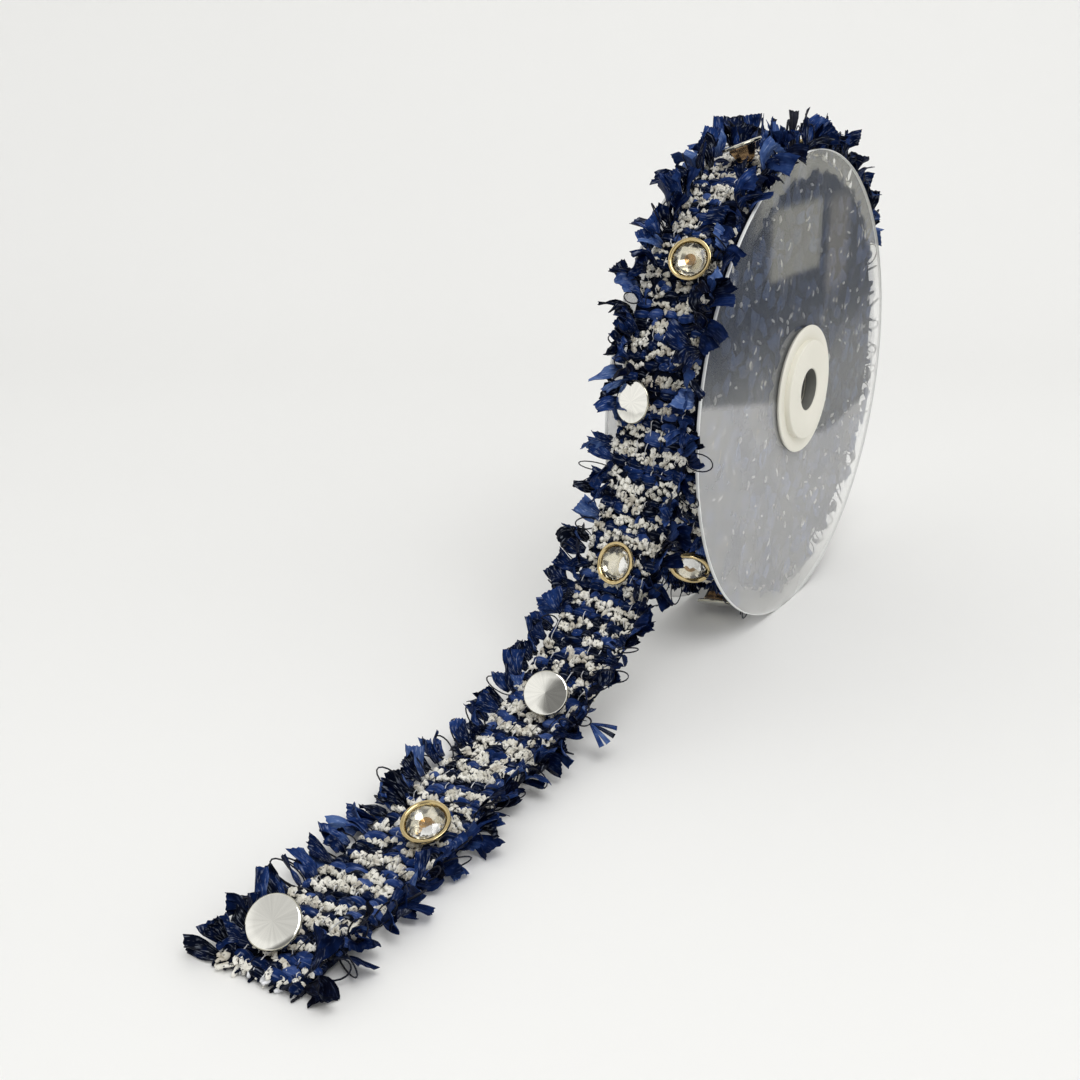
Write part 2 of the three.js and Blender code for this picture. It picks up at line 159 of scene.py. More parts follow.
# One span of a centripetal Catmull-Rom curve, at the shares given
def curve_span(p0, p1, p2, p3, shares):
    d0, d1, d2 = (np.linalg.norm(b - a) ** 0.5 for a, b in ((p0, p1), (p1, p2), (p2, p3)))
    t1 = ((p1 - p0) / d0 - (p2 - p0) / (d0 + d1) + (p2 - p1) / d1) * d1
    t2 = ((p2 - p1) / d1 - (p3 - p1) / (d1 + d2) + (p3 - p2) / d2) * d1
    s = shares[:, None]
    return p1 + t1 * s + (3 * (p2 - p1) - 2 * t1 - t2) * s**2 + (2 * (p1 - p2) + t1 + t2) * s**3


def tail_line(steps_per_span=60):
    knots = np.array([(sway, -reach, height) for reach, height, sway in TAIL_PATH], float)
    knots = np.vstack([2 * knots[0] - knots[1], knots, 2 * knots[-1] - knots[-2]])
    shares = np.arange(steps_per_span) / steps_per_span
    spans = [curve_span(*knots[i:i + 4], shares) for i in range(len(knots) - 3)]
    return np.vstack([*spans, knots[-2:-1]]) * MM + (AXIS[0], AXIS[1], 0)


# Directions out from the reel's axis, at angles in radians up and over from the front
def out_from_axis(turn):
    return np.stack([0 * turn, -np.cos(turn), np.sin(turn)], 1)


# Frames of the trim: origin in the middle of its thickness, side, normal and tangent
def roll_frames(along):
    angle = LEAVE_ANGLE - np.degrees(along / REEL_RADIUS)
    turn = np.radians(angle)
    normal = out_from_axis(turn)
    tangent = np.stack([0 * turn, -np.sin(turn), -np.cos(turn)], 1)
    radius = read_table(ROLL_OUTLINE, angle) * MM - TAPE_HALF_THICKNESS
    side = np.tile([1.0, 0.0, 0.0], (len(turn), 1))
    return AXIS + normal * radius[:, None], side, normal, tangent


def tail_frames(line):
    steps = np.linalg.norm(np.diff(line, axis=0), axis=1)
    along = np.concatenate([[0], np.cumsum(steps)])
    tangent = unit(np.gradient(line, along, axis=0))
    normal = unit(np.cross(tangent, (1, 0, 0)))
    bank = np.radians(read_table(TAIL_BANK, along / MM))[:, None]
    normal = normal * np.cos(bank) + np.cross(tangent, normal) * np.sin(bank)
    side = np.cross(normal, tangent)
    lowest = line[:, 2] - TAPE_HALF_WIDTH * abs(side[:, 2]) - TAPE_HALF_THICKNESS * normal[:, 2]
    origin = line.copy()
    origin[:, 2] += np.maximum(0, -lowest)
    return along, origin, side, normal, tangent


tail_along, *tail_parts = tail_frames(tail_line())
TAIL_LENGTH = tail_along[-1]
roll_along = np.arange(ROLL_START - 2 * MM, -0.2 * MM, 0.5 * MM)
LINE_ALONG = np.concatenate([roll_along, tail_along])
LINE_PARTS = [np.vstack(pair) for pair in zip(roll_frames(roll_along), tail_parts)]


# Origin, side, normal and tangent anywhere on the trim
def frames_at(along):
    origin, *axes = (
        np.stack([np.interp(along, LINE_ALONG, part[:, k]) for k in range(3)], -1)
        for part in LINE_PARTS
    )
    return origin, *(unit(axis) for axis in axes)


def frame_at(along):
    return (part[0] for part in frames_at(np.array([along])))


def on_trim(along, across, outward):
    origin, side, normal, _ = frames_at(along)
    return origin + side * np.asarray(across)[..., None] + normal * np.asarray(outward)[..., None]


# Smooth seeded noise from 0 to 1 over a plane, with its own cell size each way
class Noise:
    def __init__(self, seed, cell_along, cell_across):
        self.values = np.random.default_rng(seed).random((257, 65))
        self.cells = cell_along, cell_across

    def corner(self, i, j):
        return self.values[i % self.values.shape[0], j % self.values.shape[1]]

    def __call__(self, along, across):
        u = np.asarray(along) / self.cells[0]
        v = np.asarray(across) / self.cells[1] + 20
        i, j = np.floor(u).astype(int), np.floor(v).astype(int)
        s, t = ease(u - i), ease(v - j)
        low = self.corner(i, j) * (1 - s) + self.corner(i + 1, j) * s
        high = self.corner(i, j + 1) * (1 - s) + self.corner(i + 1, j + 1) * s
        return low * (1 - t) + high * t


# Four-sided faces of a grid of points, facing rows x columns
def grid_faces(rows, columns, wrapped=False):
    i, j = np.meshgrid(np.arange(rows - 1), np.arange(columns - (not wrapped)), indexing="ij")
    k = (j + 1) % columns
    faces = [i * columns + j, (i + 1) * columns + j, (i + 1) * columns + k, i * columns + k]
    return np.stack(faces, -1).reshape(-1, 4)


# Many small shapes of four-sided faces, gathered into one mesh
class Pile:
    def __init__(self):
        self.points, self.faces, self.charts, self.kinds = [], [], [], []
        self.count = 0

    def add(self, points, faces, chart=None, kind=0):
        points = points.reshape(-1, 3)
        self.points.append(points)
        self.faces.append(faces + self.count)
        self.charts.append(np.zeros((len(points), 2)) if chart is None else chart.reshape(-1, 2))
        self.kinds.append(np.broadcast_to(kind, len(faces)))
        self.count += len(points)

    # A closed tube with an even number of sides; its two half axes may differ
    def tube(self, path, beside, above, sides=6, relief=1.0, chart=None, kind=0):
        turn = (np.arange(sides) * 2 * math.pi / sides)[None, :, None]
        spoke = beside[:, None] * np.cos(turn) + above[:, None] * np.sin(turn)
        cap = np.array([(0, k, k + 1, k + 2) for k in range(1, sides - 2, 2)])
        last = (len(path) - 1) * sides
        faces = np.vstack([grid_faces(len(path), sides, True), cap, cap[:, ::-1] + last])
        self.add(path[:, None] + spoke * relief, faces, chart, kind)

    def round_tube(self, path, radius, facing, sides=6, kind=0):
        tangent = unit(np.gradient(path, axis=0))
        beside = unit(np.cross(tangent, facing))
        radii = np.broadcast_to(radius, len(path))[:, None]
        self.tube(path, beside * radii, np.cross(beside, tangent) * radii, sides, kind=kind)

    # A thin closed sheet under a grid of points, its back of the next kind
    def slab(self, grid, thickness, chart=None, kind=0):
        rows, columns = grid.shape[:2]
        normal = unit(np.cross(np.gradient(grid, axis=0), np.gradient(grid, axis=1)))
        size = rows * columns
        index = np.arange(size).reshape(rows, columns)
        rim = np.concatenate([index[0, :-1], index[:-1, -1], index[-1, :0:-1], index[:0:-1, 0]])
        after = np.roll(rim, -1)
        top = grid_faces(rows, columns)
        back = np.vstack([top[:, ::-1] + size, np.stack([rim, after, after + size, rim + size], -1)])
        points = np.concatenate([grid.reshape(-1, 3), (grid - normal * thickness).reshape(-1, 3)])
        both = None if chart is None else np.concatenate([chart.reshape(-1, 2)] * 2)
        self.add(points, np.vstack([top, back]), both, np.repeat([kind, kind + 1], [len(top), len(back)]))

    # A shape turned round an axis, its profile of (radius, height) running outwards and up
    def turned(self, profile, base, axis, steps=64, closed=False, kinds=0):
        rings, spokes = turned_rings(profile, base, axis, steps)
        faces = grid_faces(len(profile) + closed, steps, True)[:, ::-1] % (len(profile) * steps)
        kinds = np.repeat(kinds, len(faces) // np.size(kinds))
        self.add(rings, faces, np.tile(spokes, (len(profile), 1)), kinds)

    # Nothing reaches below the surface that the part stands on
    def piece(self, name, slot, materials, replaced=(), sharp=None):
        points = np.vstack(self.points)
        points[:, 2] = np.maximum(points[:, 2], 0)
        mesh = mesh_from(name, points, np.vstack(self.faces), np.vstack(self.charts))
        for material in materials:
            mesh.materials.append(material)
        mesh.polygons.foreach_set("material_index", np.concatenate(self.kinds).astype(np.int32))
        if sharp is not None:
            mesh.set_sharp_from_angle(angle=math.radians(sharp))
        return finished(name, mesh, replaced)


# Rings of points round an axis, and where each point of a ring lies on a unit circle
def turned_rings(profile, base, axis, steps, start=0.0):
    axis = unit(np.asarray(axis, float))
    helper = np.array([0.0, 0.0, 1.0]) if abs(axis[2]) < 0.9 else np.array([1.0, 0.0, 0.0])
    first = unit(np.cross(helper, axis))
    second = np.cross(axis, first)
    turn = start + np.arange(steps) * 2 * math.pi / steps
    circle = np.stack([np.cos(turn), np.sin(turn)], 1)
    spoke = circle @ np.stack([first, second])
    radius, height = (np.array(values)[:, None, None] for values in zip(*profile))
    return base + spoke[None] * radius + axis * height, circle


def mesh_from(name, points, faces, chart=None):
    mesh = bpy.data.meshes.new(name)
    mesh.vertices.add(len(points))
    mesh.vertices.foreach_set("co", points.astype(np.float32).ravel())
    mesh.loops.add(faces.size)
    mesh.loops.foreach_set("vertex_index", faces.astype(np.int32).ravel())
    mesh.polygons.add(len(faces))
    mesh.polygons.foreach_set("loop_start", np.arange(0, faces.size, 4, dtype=np.int32))
    if chart is not None and chart.any():
        layer = mesh.uv_layers.new(name="Chart")
        layer.data.foreach_set("uv", chart[faces.ravel()].astype(np.float32).ravel())
    mesh.polygons.foreach_set("use_smooth", np.ones(len(faces), bool))
    mesh.update(calc_edges=True)
    return mesh


def linked(name, data):
    made = bpy.data.objects.new(name, data)
    bpy.context.scene.collection.objects.link(made)
    return made


def finished(name, mesh, replaced=()):
    piece = linked(name, mesh)
    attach(piece, "root")
    if replaced:
        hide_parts(*replaced)
    return piece


# Nodes of a material or of the room
class Nodes:
    def __init__(self, tree):
        self.tree = tree

    def put(self, value, socket):
        if isinstance(value, bpy.types.NodeSocket):
            self.tree.links.new(value, socket)
        elif isinstance(value, tuple) and len(value) < len(socket.default_value):
            socket.default_value = (*value, 1)
        else:
            socket.default_value = value

    def node(self, kind, inputs, **settings):
        made = self.tree.nodes.new("ShaderNode" + kind)
        for key, value in settings.items():
            setattr(made, key, value)
        for key, value in inputs.items():
            self.put(value, made.inputs[key])
        return made

    def math(self, operation, first, second=0.0):
        return self.node("Math", {0: first, 1: second}, operation=operation).outputs[0]

    def times(self, first, second):
        return self.math("MULTIPLY", first, second)

    def plus(self, first, second):
        return self.math("ADD", first, second)

    def of_vectors(self, operation, first, second):
        return self.node("VectorMath", {0: first, 1: second}, operation=operation).outputs["Value"]

    # Smoothly from the start at the first value to the end at the second
    def step(self, value, low, high, start=0.0, end=1.0):
        inputs = {"Value": value, "From Min": low, "From Max": high, "To Min": start, "To Max": end}
        return self.node("MapRange", inputs, interpolation_type="SMOOTHSTEP").outputs["Result"]

    # 1 between a rising and a falling step, each a pair of values
    def band(self, value, steps):
        return self.times(self.step(value, *steps[0]), self.step(value, *steps[1]))


# Materials
class Shader(Nodes):
    def __init__(self, name, **values):
        self.material = bpy.data.materials.new(name)
        self.material.use_nodes = True
        super().__init__(self.material.node_tree)
        self.surface = self.tree.nodes["Principled BSDF"]
        for socket, value in values.items():
            self.surface.inputs[socket.replace("_", " ")].default_value = value
        coordinates = self.node("TexCoord", {})
        self.place = coordinates.outputs["Object"]
        self.chart = coordinates.outputs["UV"]

    def noise(self, scale, detail=2.0, place=None):
        inputs = {"Vector": place or self.place, "Scale": scale, "Detail": detail}
        return self.node("TexNoise", inputs).outputs["Fac"]

    def stretched(self, vector, scale):
        return self.node("Mapping", {"Vector": vector, "Scale": scale}).outputs["Vector"]

    def part(self, vector, axis):
        return self.node("SeparateXYZ", {0: vector}).outputs[axis]

    def ramp(self, value, places, tones):
        ramp = self.node("ValToRGB", {"Fac": value})
        elements = ramp.color_ramp.elements
        while len(elements) < len(places):
            elements.new(0.5)
        for element, place, tone in zip(elements, places, tones):
            element.position = place
            element.color = (*tone, 1)
        return ramp.outputs["Color"]

    def mix(self, share, first, second, blend="MIX"):
        inputs = {0: share, 6: first, 7: second}
        return self.node("Mix", inputs, data_type="RGBA", blend_type=blend).outputs[2]

    def bump(self, height, distance, strength=1.0):
        inputs = {"Height": height, "Distance": distance, "Strength": strength}
        return self.node("Bump", inputs).outputs["Normal"]

    def use(self, socket, value):
        self.tree.links.new(value, self.surface.inputs[socket])
        return self


BLACK = (0.0, 0.0, 0.0)
WHITE = (1.0, 1.0, 1.0)
SLUB_TONES = ((0.60, 0.56, 0.48), (0.83, 0.81, 0.73), (0.94, 0.92, 0.85))
SLUB_PIT_SHADE = (0.16, 0.16, 0.18)
RIBBON_TINT = (0.45, 0.62, 1, 1)
# Painted shade at the root of a ribbon end
RIBBON_ROOT_SHADE = (0.25, 0.25, 0.3)
GROUND_TONES = ((0.001, 0.002, 0.006), (0.006, 0.011, 0.035))


def slub_material():
    shader = Shader("slub yarn", Roughness=0.9, Specular_IOR_Level=0.25)
    tone = shader.ramp(shader.noise(330, 3.0), (0.36, 0.48, 0.6), SLUB_TONES)
    # Painted shade in small hollows over the yarn
    pit_shade = shader.ramp(shader.noise(1300), (0.33, 0.43), (SLUB_PIT_SHADE, WHITE))
    shader.use("Base Color", shader.mix(1.0, tone, pit_shade, "MULTIPLY"))
    return shader.use("Normal", shader.bump(shader.noise(2600, 3.0), 0.25 * MM, 0.8)).material


# Flat yarn with fine ribs. The chart's X numbers each end in its whole part and runs across it in its
# fraction, and its Y runs from the root to the cut.
def ribbon_material(name, tones, painted_gloss):
    shader = Shader(name, Roughness=0.45, Specular_IOR_Level=0.04, Specular_Tint=RIBBON_TINT)
    number = shader.math("FLOOR", shader.part(shader.chart, "X"))
    pick = shader.node("TexWhiteNoise", {"W": number}, noise_dimensions="1D").outputs["Value"]
    # Tones picked at random, from a near-black that stands in for shade to a top tone that is a painted
    # highlight
    tone = shader.plus(shader.times(pick, 0.5), shader.times(shader.noise(420), 0.5))
    colour = shader.ramp(tone, (0.28, 0.45, 0.62, 0.78), tones)
    # Painted shade, darker towards the root
    root = shader.ramp(shader.part(shader.chart, "Y"), (0.0, 0.4), (RIBBON_ROOT_SHADE, WHITE))
    colour = shader.mix(1.0, colour, root, "MULTIPLY")
    # Streaks of painted highlight along the ribs, added to the colour; the same noise drives the bump
    streaks = shader.noise(1.0, 3.0, shader.stretched(shader.chart, (17.0, 4.0, 1.0)))
    lit = shader.ramp(streaks, (0.54, 0.76), (BLACK, painted_gloss))
    shader.use("Base Color", shader.mix(1.0, colour, lit, "ADD"))
    return shader.use("Normal", shader.bump(streaks, 0.16 * MM, 0.9)).material


# A colour that drifts between two tones, over a bump of its own noise, distance and strength
def plain_material(name, noise, tones, places=(0.3, 0.7), bump=None, **values):
    shader = Shader(name, **values)
    shader.use("Base Color", shader.ramp(shader.noise(*noise), places, tones))
    if bump:
        shader.use("Normal", shader.bump(shader.noise(bump[0], bump[1]), bump[2], bump[3]))
    return shader.material


def darker(colour, share):
    return tuple(share * c for c in colour)


def thread_material(name, colour, roughness):
    tones = darker(colour, 0.5), colour
    bump = 4000, 2.0, 0.05 * MM, 0.5
    return plain_material(name, (900,), tones, (0.35, 0.6), bump, Roughness=roughness, Specular_IOR_Level=0.3)


def ground_material():
    bump = 2500, 3.0, 0.3 * MM, 1.0
    values = {"Roughness": 0.95, "Specular_IOR_Level": 0.1}
    return plain_material("ground cloth", (800, 3.0), GROUND_TONES, (0.35, 0.7), bump, **values)


def moulded_material(name, *tones):
    return plain_material(name, (60, 3.0), tones, bump=(1600, 2.0, 0.03 * MM, 0.3), Roughness=0.45)


def rim_material():
    tones = (0.82, 0.83, 0.82), (0.93, 0.94, 0.93)
    return plain_material("clear plastic rim", (60,), tones, Roughness=0.25, Alpha=0.85)


def crystal_material():
    tones = (0.96, 0.95, 0.90), WHITE
    return plain_material("crystal", (300,), tones, Roughness=0.0, IOR=1.55, Transmission_Weight=1.0)


def floor_material():
    tones = (0.862, 0.862, 0.852), (0.878, 0.878, 0.868)
    return plain_material("floor", (3,), tones, Roughness=0.75, Specular_IOR_Level=0.3)


# Polished metal with faint streaks out from its middle
def metal_material(name, colour, roughness):
    shader = Shader(name, Roughness=roughness, Metallic=1.0)
    streaks = shader.noise(5, 4.0, shader.chart)
    shader.use("Base Color", shader.ramp(streaks, (0.35, 0.6), (darker(colour, 0.9), colour)))
    return shader.use("Normal", shader.bump(streaks, 0.02 * MM, 0.08)).material


# Haze of the clear plastic, its tones painted reflections. A pale table is painted below a line that falls
# with depth and dips behind the cap, a dark streaked room above it that fades to grey lower down, and two
# paler panes in that. Flecks of slub show, and a clear ring outside the trim, painted pale and paler below
# where it mirrors the table. Each pair of values is where a step starts and where it is full.
TABLE_REFLECTION_LINE = (70.8 * MM, 68.4 * MM)
TABLE_REFLECTION_TILT = 0.195
TABLE_REFLECTION_DIP = 9 * MM
TABLE_REFLECTION_DIP_DEPTHS = ((72 * MM, 80 * MM), (122 * MM, 84 * MM))
TABLE_REFLECTION_TONES = ((0.74, 0.75, 0.77), (0.83, 0.83, 0.82))
DARK_ROOM_REFLECTION_TONES = ((0.028, 0.045, 0.085), (0.085, 0.10, 0.13))
DARK_ROOM_REFLECTION_STREAKS = (1.0, 260.0, 26.0)
REFLECTION_FADE_HEIGHTS = (88 * MM, 62 * MM)
REFLECTION_FADE_WAVE = 8 * MM
REFLECTION_FADE_TONE = (0.36, 0.37, 0.375)
REFLECTED_PANE_HEIGHTS = ((89.5 * MM, 91.5 * MM), (109 * MM, 106 * MM))
REFLECTED_PANE_DEPTHS = ((42 * MM, 46 * MM), (75.5 * MM, 75 * MM))
REFLECTED_PANE_TONE = (0.40, 0.40, 0.37)
REFLECTED_PANEL_HEIGHTS = ((78 * MM, 88 * MM), (110 * MM, 104 * MM))
REFLECTED_PANEL_DEPTHS = ((80 * MM, 82 * MM), (98 * MM, 92 * MM))
REFLECTED_PANEL_TONE = (0.25, 0.245, 0.24)
REFLECTED_PANES = ((REFLECTED_PANE_HEIGHTS, REFLECTED_PANE_DEPTHS, REFLECTED_PANE_TONE), (REFLECTED_PANEL_HEIGHTS, REFLECTED_PANEL_DEPTHS, REFLECTED_PANEL_TONE))
FLECK_SCALE = (1.0, 330.0, 230.0)
FLECK_LEVELS = (0.66, 0.74)
CLUSTER_LEVELS = (0.52, 0.62)
FLECK_TONE = (0.95, 0.93, 0.84)
RING_RADII = (58.4 * MM, 59.0 * MM)
RING_RAGGEDNESS = 6 * MM
RING_DEPTHS = (28 * MM, 44 * MM)
RING_HEIGHTS = (92 * MM, 70 * MM)
RING_TONES = ((0.50, 0.50, 0.46), (0.92, 0.92, 0.90))


def clear_material():
    shader = Shader("clear plastic", Roughness=0.12, Alpha=0.33, Specular_IOR_Level=0.3)
    height = shader.part(shader.place, "Z")
    depth = shader.part(shader.place, "Y")
    # Painted reflection of a dark room, with streaks, fading to grey lower down
    streaks = shader.noise(1.0, 3.0, shader.stretched(shader.place, DARK_ROOM_REFLECTION_STREAKS))
    colour = shader.ramp(streaks, (0.3, 0.7), DARK_ROOM_REFLECTION_TONES)
    wavy = shader.plus(height, shader.times(shader.noise(90), REFLECTION_FADE_WAVE))
    colour = shader.mix(shader.step(wavy, *REFLECTION_FADE_HEIGHTS), colour, REFLECTION_FADE_TONE)
    # Painted reflections of two paler panes in the dark room
    for heights, depths, tone in REFLECTED_PANES:
        pane = shader.times(shader.band(height, heights), shader.band(depth, depths))
        colour = shader.mix(pane, colour, tone)
    # Painted reflection of the pale table, below a tilted line that dips behind the cap
    dip = shader.times(shader.band(depth, TABLE_REFLECTION_DIP_DEPTHS), TABLE_REFLECTION_DIP)
    level = shader.plus(height, shader.times(depth, TABLE_REFLECTION_TILT))
    table = shader.step(shader.plus(level, dip), *TABLE_REFLECTION_LINE)
    colour = shader.mix(table, colour, shader.ramp(shader.noise(110, 3.0), (0.35, 0.65), TABLE_REFLECTION_TONES))
    specks = shader.noise(1.0, 1.0, shader.stretched(shader.place, FLECK_SCALE))
    clusters = shader.step(shader.noise(80, 0.0), *CLUSTER_LEVELS)
    colour = shader.mix(shader.times(shader.step(specks, *FLECK_LEVELS), clusters), colour, FLECK_TONE)
    # A clear ring outside the trim, painted pale, and paler below where it mirrors the table
    radius = shader.of_vectors("DISTANCE", shader.place, tuple(AXIS))
    ragged = shader.plus(radius, shader.times(shader.noise(230, 1.0), RING_RAGGEDNESS))
    ring = shader.times(shader.step(ragged, *RING_RADII), shader.step(depth, *RING_DEPTHS))
    clear = shader.mix(shader.step(height, *RING_HEIGHTS), *RING_TONES)
    return shader.use("Base Color", shader.mix(ring, colour, clear)).material


# Ribbon tones, from a near-black that stands in for shade to a painted highlight, and the colours of their
# painted highlight streaks. The back is painted darker, as shade.
SATIN_TONES = ((0.001, 0.002, 0.008), (0.003, 0.010, 0.050), (0.014, 0.040, 0.165), (0.08, 0.14, 0.33))
BACK_SHADE_TONES = ((0.001, 0.001, 0.005), (0.001, 0.004, 0.022), (0.005, 0.014, 0.065), (0.02, 0.045, 0.145))
PUFF_TONES = ((0.001, 0.002, 0.008), (0.002, 0.008, 0.040), (0.010, 0.030, 0.130), (0.05, 0.09, 0.26))
SIDE_TONES = ((0.02, 0.025, 0.05), (0.035, 0.05, 0.11), (0.055, 0.085, 0.19), (0.09, 0.14, 0.30))
SLUB = slub_material()
RIBBON = ribbon_material("satin ribbon", SATIN_TONES, (0.23, 0.255, 0.30))
RIBBON_BACK = ribbon_material("ribbon back", BACK_SHADE_TONES, (0.03, 0.04, 0.07))
PUFF = ribbon_material("woven ribbon", PUFF_TONES, (0.19, 0.21, 0.25))
SIDE_RIBBON = ribbon_material("wound ribbon", SIDE_TONES, (0.06, 0.07, 0.10))
SILVER_THREAD = thread_material("silver thread", (0.86, 0.87, 0.90), 0.35)
SIDE_FLECK = thread_material("wound fleck", (0.97, 0.96, 0.92), 0.9)
DARK_THREAD = thread_material("dark thread", (0.004, 0.006, 0.018), 0.6)
GROUND = ground_material()
CLEAR = clear_material()
RIM = rim_material()
MOULDED = moulded_material("moulded ivory", (0.75, 0.73, 0.64), (0.82, 0.80, 0.71))
# The bore's wall is the same moulding, painted dark for the shade deep inside the bore
SHADED_BORE_WALL = moulded_material("bore wall painted shade", (0.12, 0.12, 0.11), (0.2, 0.2, 0.185))
SILVER = metal_material("polished silver", (0.95, 0.94, 0.88), 0.07)
SILVER_EDGE = metal_material("silver edge", (0.52, 0.50, 0.41), 0.14)
COPPER = metal_material("copper cone", (0.70, 0.46, 0.25), 0.2)
GOLD = metal_material("polished gold", (0.66, 0.52, 0.27), 0.16)
FOIL = metal_material("foil", (0.84, 0.80, 0.68), 0.1)
AMBER = metal_material("amber foil", (0.36, 0.20, 0.05), 0.25)
CRYSTAL = crystal_material()


# Reel
def arc(centre, radius, start, end, steps):
    turn = np.radians(np.linspace(start, end, steps))
    return [(centre[0] + radius * math.cos(t), centre[1] + radius * math.sin(t)) for t in turn]


def add_flange(way, label):
    hole = BOSS_RADIUS + SEAT_GAP
    edge = REEL_RADIUS - RIM_ROUND
    inner = [(hole, FLANGE_INSIDE), (edge, FLANGE_INSIDE)]
    outer = [(edge, FLANGE_OUTSIDE), (hole, FLANGE_OUTSIDE)]
    lower_round = arc((edge, FLANGE_INSIDE + RIM_ROUND), RIM_ROUND, -90, 0, 5)[1:]
    upper_round = arc((edge, FLANGE_OUTSIDE - RIM_ROUND), RIM_ROUND, 0, 90, 5)[:-1]
    profile = [*inner, *lower_round, *upper_round, *outer]
    kinds = np.ones(len(profile), int)
    kinds[[0, -2, -1]] = 0
    pile = Pile()
    pile.turned(profile, AXIS, (way, 0, 0), 240, True, kinds)
    pile.piece(f"clear_flange_{label}", "clear", [CLEAR, RIM], [f"flange_{label}"], sharp=50)


# Kinds of a closed profile's bands: the second kind for the last one, which is the bore
def last_only(profile):
    return np.arange(len(profile)) // (len(profile) - 1)


def add_core():
    half = FLANGE_INSIDE - SEAT_GAP
    profile = [(BORE_RADIUS, -half), (CORE_RADIUS, -half), (CORE_RADIUS, half), (BORE_RADIUS, half)]
    pile = Pile()
    pile.turned(profile, AXIS, (1, 0, 0), 96, True, last_only(profile))
    pile.piece("reel_core", "ivory", [MOULDED, SHADED_BORE_WALL], ["core"], sharp=40)


def add_cap(way, label):
    seat = FLANGE_OUTSIDE + SEAT_GAP
    profile = [
        (BORE_RADIUS, FLANGE_INSIDE),
        (BOSS_RADIUS, FLANGE_INSIDE),
        (BOSS_RADIUS, seat),
        (CAP_RADIUS - CAP_ROUND, seat),
        *arc((CAP_RADIUS - CAP_ROUND, CAP_BRIM_TOP - CAP_ROUND), CAP_ROUND, 0, 90, 6),
        (CAP_STEP_RADIUS + 4 * CAP_GROOVE, CAP_BRIM_TOP),
        (CAP_STEP_RADIUS + 2 * CAP_GROOVE, CAP_BRIM_TOP - CAP_GROOVE),
        (CAP_STEP_RADIUS, CAP_BRIM_TOP - CAP_GROOVE),
        *arc((CAP_STEP_RADIUS - CAP_ROUND, CAP_TOP - CAP_ROUND), CAP_ROUND, 0, 90, 6),
        *arc((BORE_RADIUS + CAP_ROUND, CAP_TOP - CAP_ROUND), CAP_ROUND, 90, 180, 6),
    ]
    pile = Pile()
    pile.turned(profile, AXIS, (way, 0, 0), 128, True, last_only(profile))
    pile.piece(f"moulded_cap_{label}", "ivory", [MOULDED, SHADED_BORE_WALL], [f"hub_cap_{label}"], sharp=35)


# Wound body under the outer turn
BODY_UNDER_FACE = 1.9 * MM


def add_wound_body():
    angles = np.arange(LEAVE_ANGLE, LEAVE_ANGLE + 360, 3.0)
    normal = out_from_axis(np.radians(angles))
    outside = read_table(ROLL_OUTLINE, angles) * MM - BODY_UNDER_FACE
    inside = np.full_like(outside, ROLL_INSIDE)
    corners = ((outside, -1), (outside, 1), (inside, 1), (inside, -1))
    rings = [AXIS + normal * radius[:, None] + (way * ROLL_BODY_HALF_WIDTH, 0, 0) for radius, way in corners]
    pile = Pile()
    pile.add(np.stack(rings), grid_faces(5, len(angles), True) % (4 * len(angles)))
    pile.piece("wound_body", "tweed", [GROUND], ["roll"], sharp=40)


# Ground of the tape, a thin uneven sheet
GROUND_THICKNESS = 0.8 * MM
GROUND_RELIEF = Noise(3, 2.2 * MM, 1.6 * MM)


def add_ground(name, first, last, replaced=()):
    along = np.append(np.arange(first, last, 1.2 * MM), last)
    across = np.linspace(-TAPE_HALF_WIDTH, TAPE_HALF_WIDTH, 17)
    u, v = np.meshgrid(along, across, indexing="ij")
    pile = Pile()
    pile.slab(on_trim(u, v, GROUND_RELIEF(u, v) * 0.35 * MM), GROUND_THICKNESS)
    return pile.piece(name, "tweed", [GROUND, GROUND], replaced)


# Tweed: crosswise rows of yarn between the lengthwise lanes of the warp. A row is knobbly ivory slub
# or gathered ribbon, as the drifting bands ask, and lies over one to four lanes at a time.
ROW_PITCH = 1.25 * MM
BAND_PERIOD = 6.1 * MM
BAND_DRIFT = Noise(21, 13 * MM, 7.5 * MM)
BAND_FINE = Noise(22, 1.8 * MM, 2.7 * MM)
IVORY_LEVEL = 0.51
KNOB_GAPS = 0.16
CURL_SHARE = 0.4
ODD_PUFF_SHARE = 0.3
LANES = np.linspace(-TAPE_HALF_WIDTH, TAPE_HALF_WIDTH, 16)
STUD_PLACES = np.array([(along * MM, across * MM) for _, along, across, _, _ in STUDS])
STUD_FOOT_REACH = 2.4 * MM
ANY_PHASE = (0, 6.3)


def ivory_share(along, across):
    drift = (BAND_DRIFT(along, across) - 0.5) * 10 * MM
    wave = 0.5 + 0.5 * np.sin((along + drift) * 2 * math.pi / BAND_PERIOD)
    on_tail = ease((along - 20 * MM) / (30 * MM))
    even = 0.58 - 0.2 * on_tail
    return even * wave + (1 - even) * BAND_FINE(along, across) - 0.045 * on_tail


# How far yarn is pressed down beside a stud's foot
def stud_press(along, across):
    nearest = np.min([np.hypot(along - a, across - c) for a, c in STUD_PLACES], axis=0)
    return ease(1.6 - nearest / STUD_FOOT_REACH) * 0.8 * MM


# Stretches of one row that lie on top: whether ivory, where they start and end
def row_floats(row, rng):
    middles = (LANES[1:] + LANES[:-1]) / 2
    is_ivory = ivory_share(row, middles) > IVORY_LEVEL
    floats = []
    first = 0
    while first < len(middles):
        longest = 1 if is_ivory[first] else rng.choice((2, 3, 3, 4))
        last = first + 1
        while last < len(middles) and last - first < longest and is_ivory[last] == is_ivory[first]:
            last += 1
        floats.append((is_ivory[first], LANES[first], LANES[last]))
        first = last
    return floats


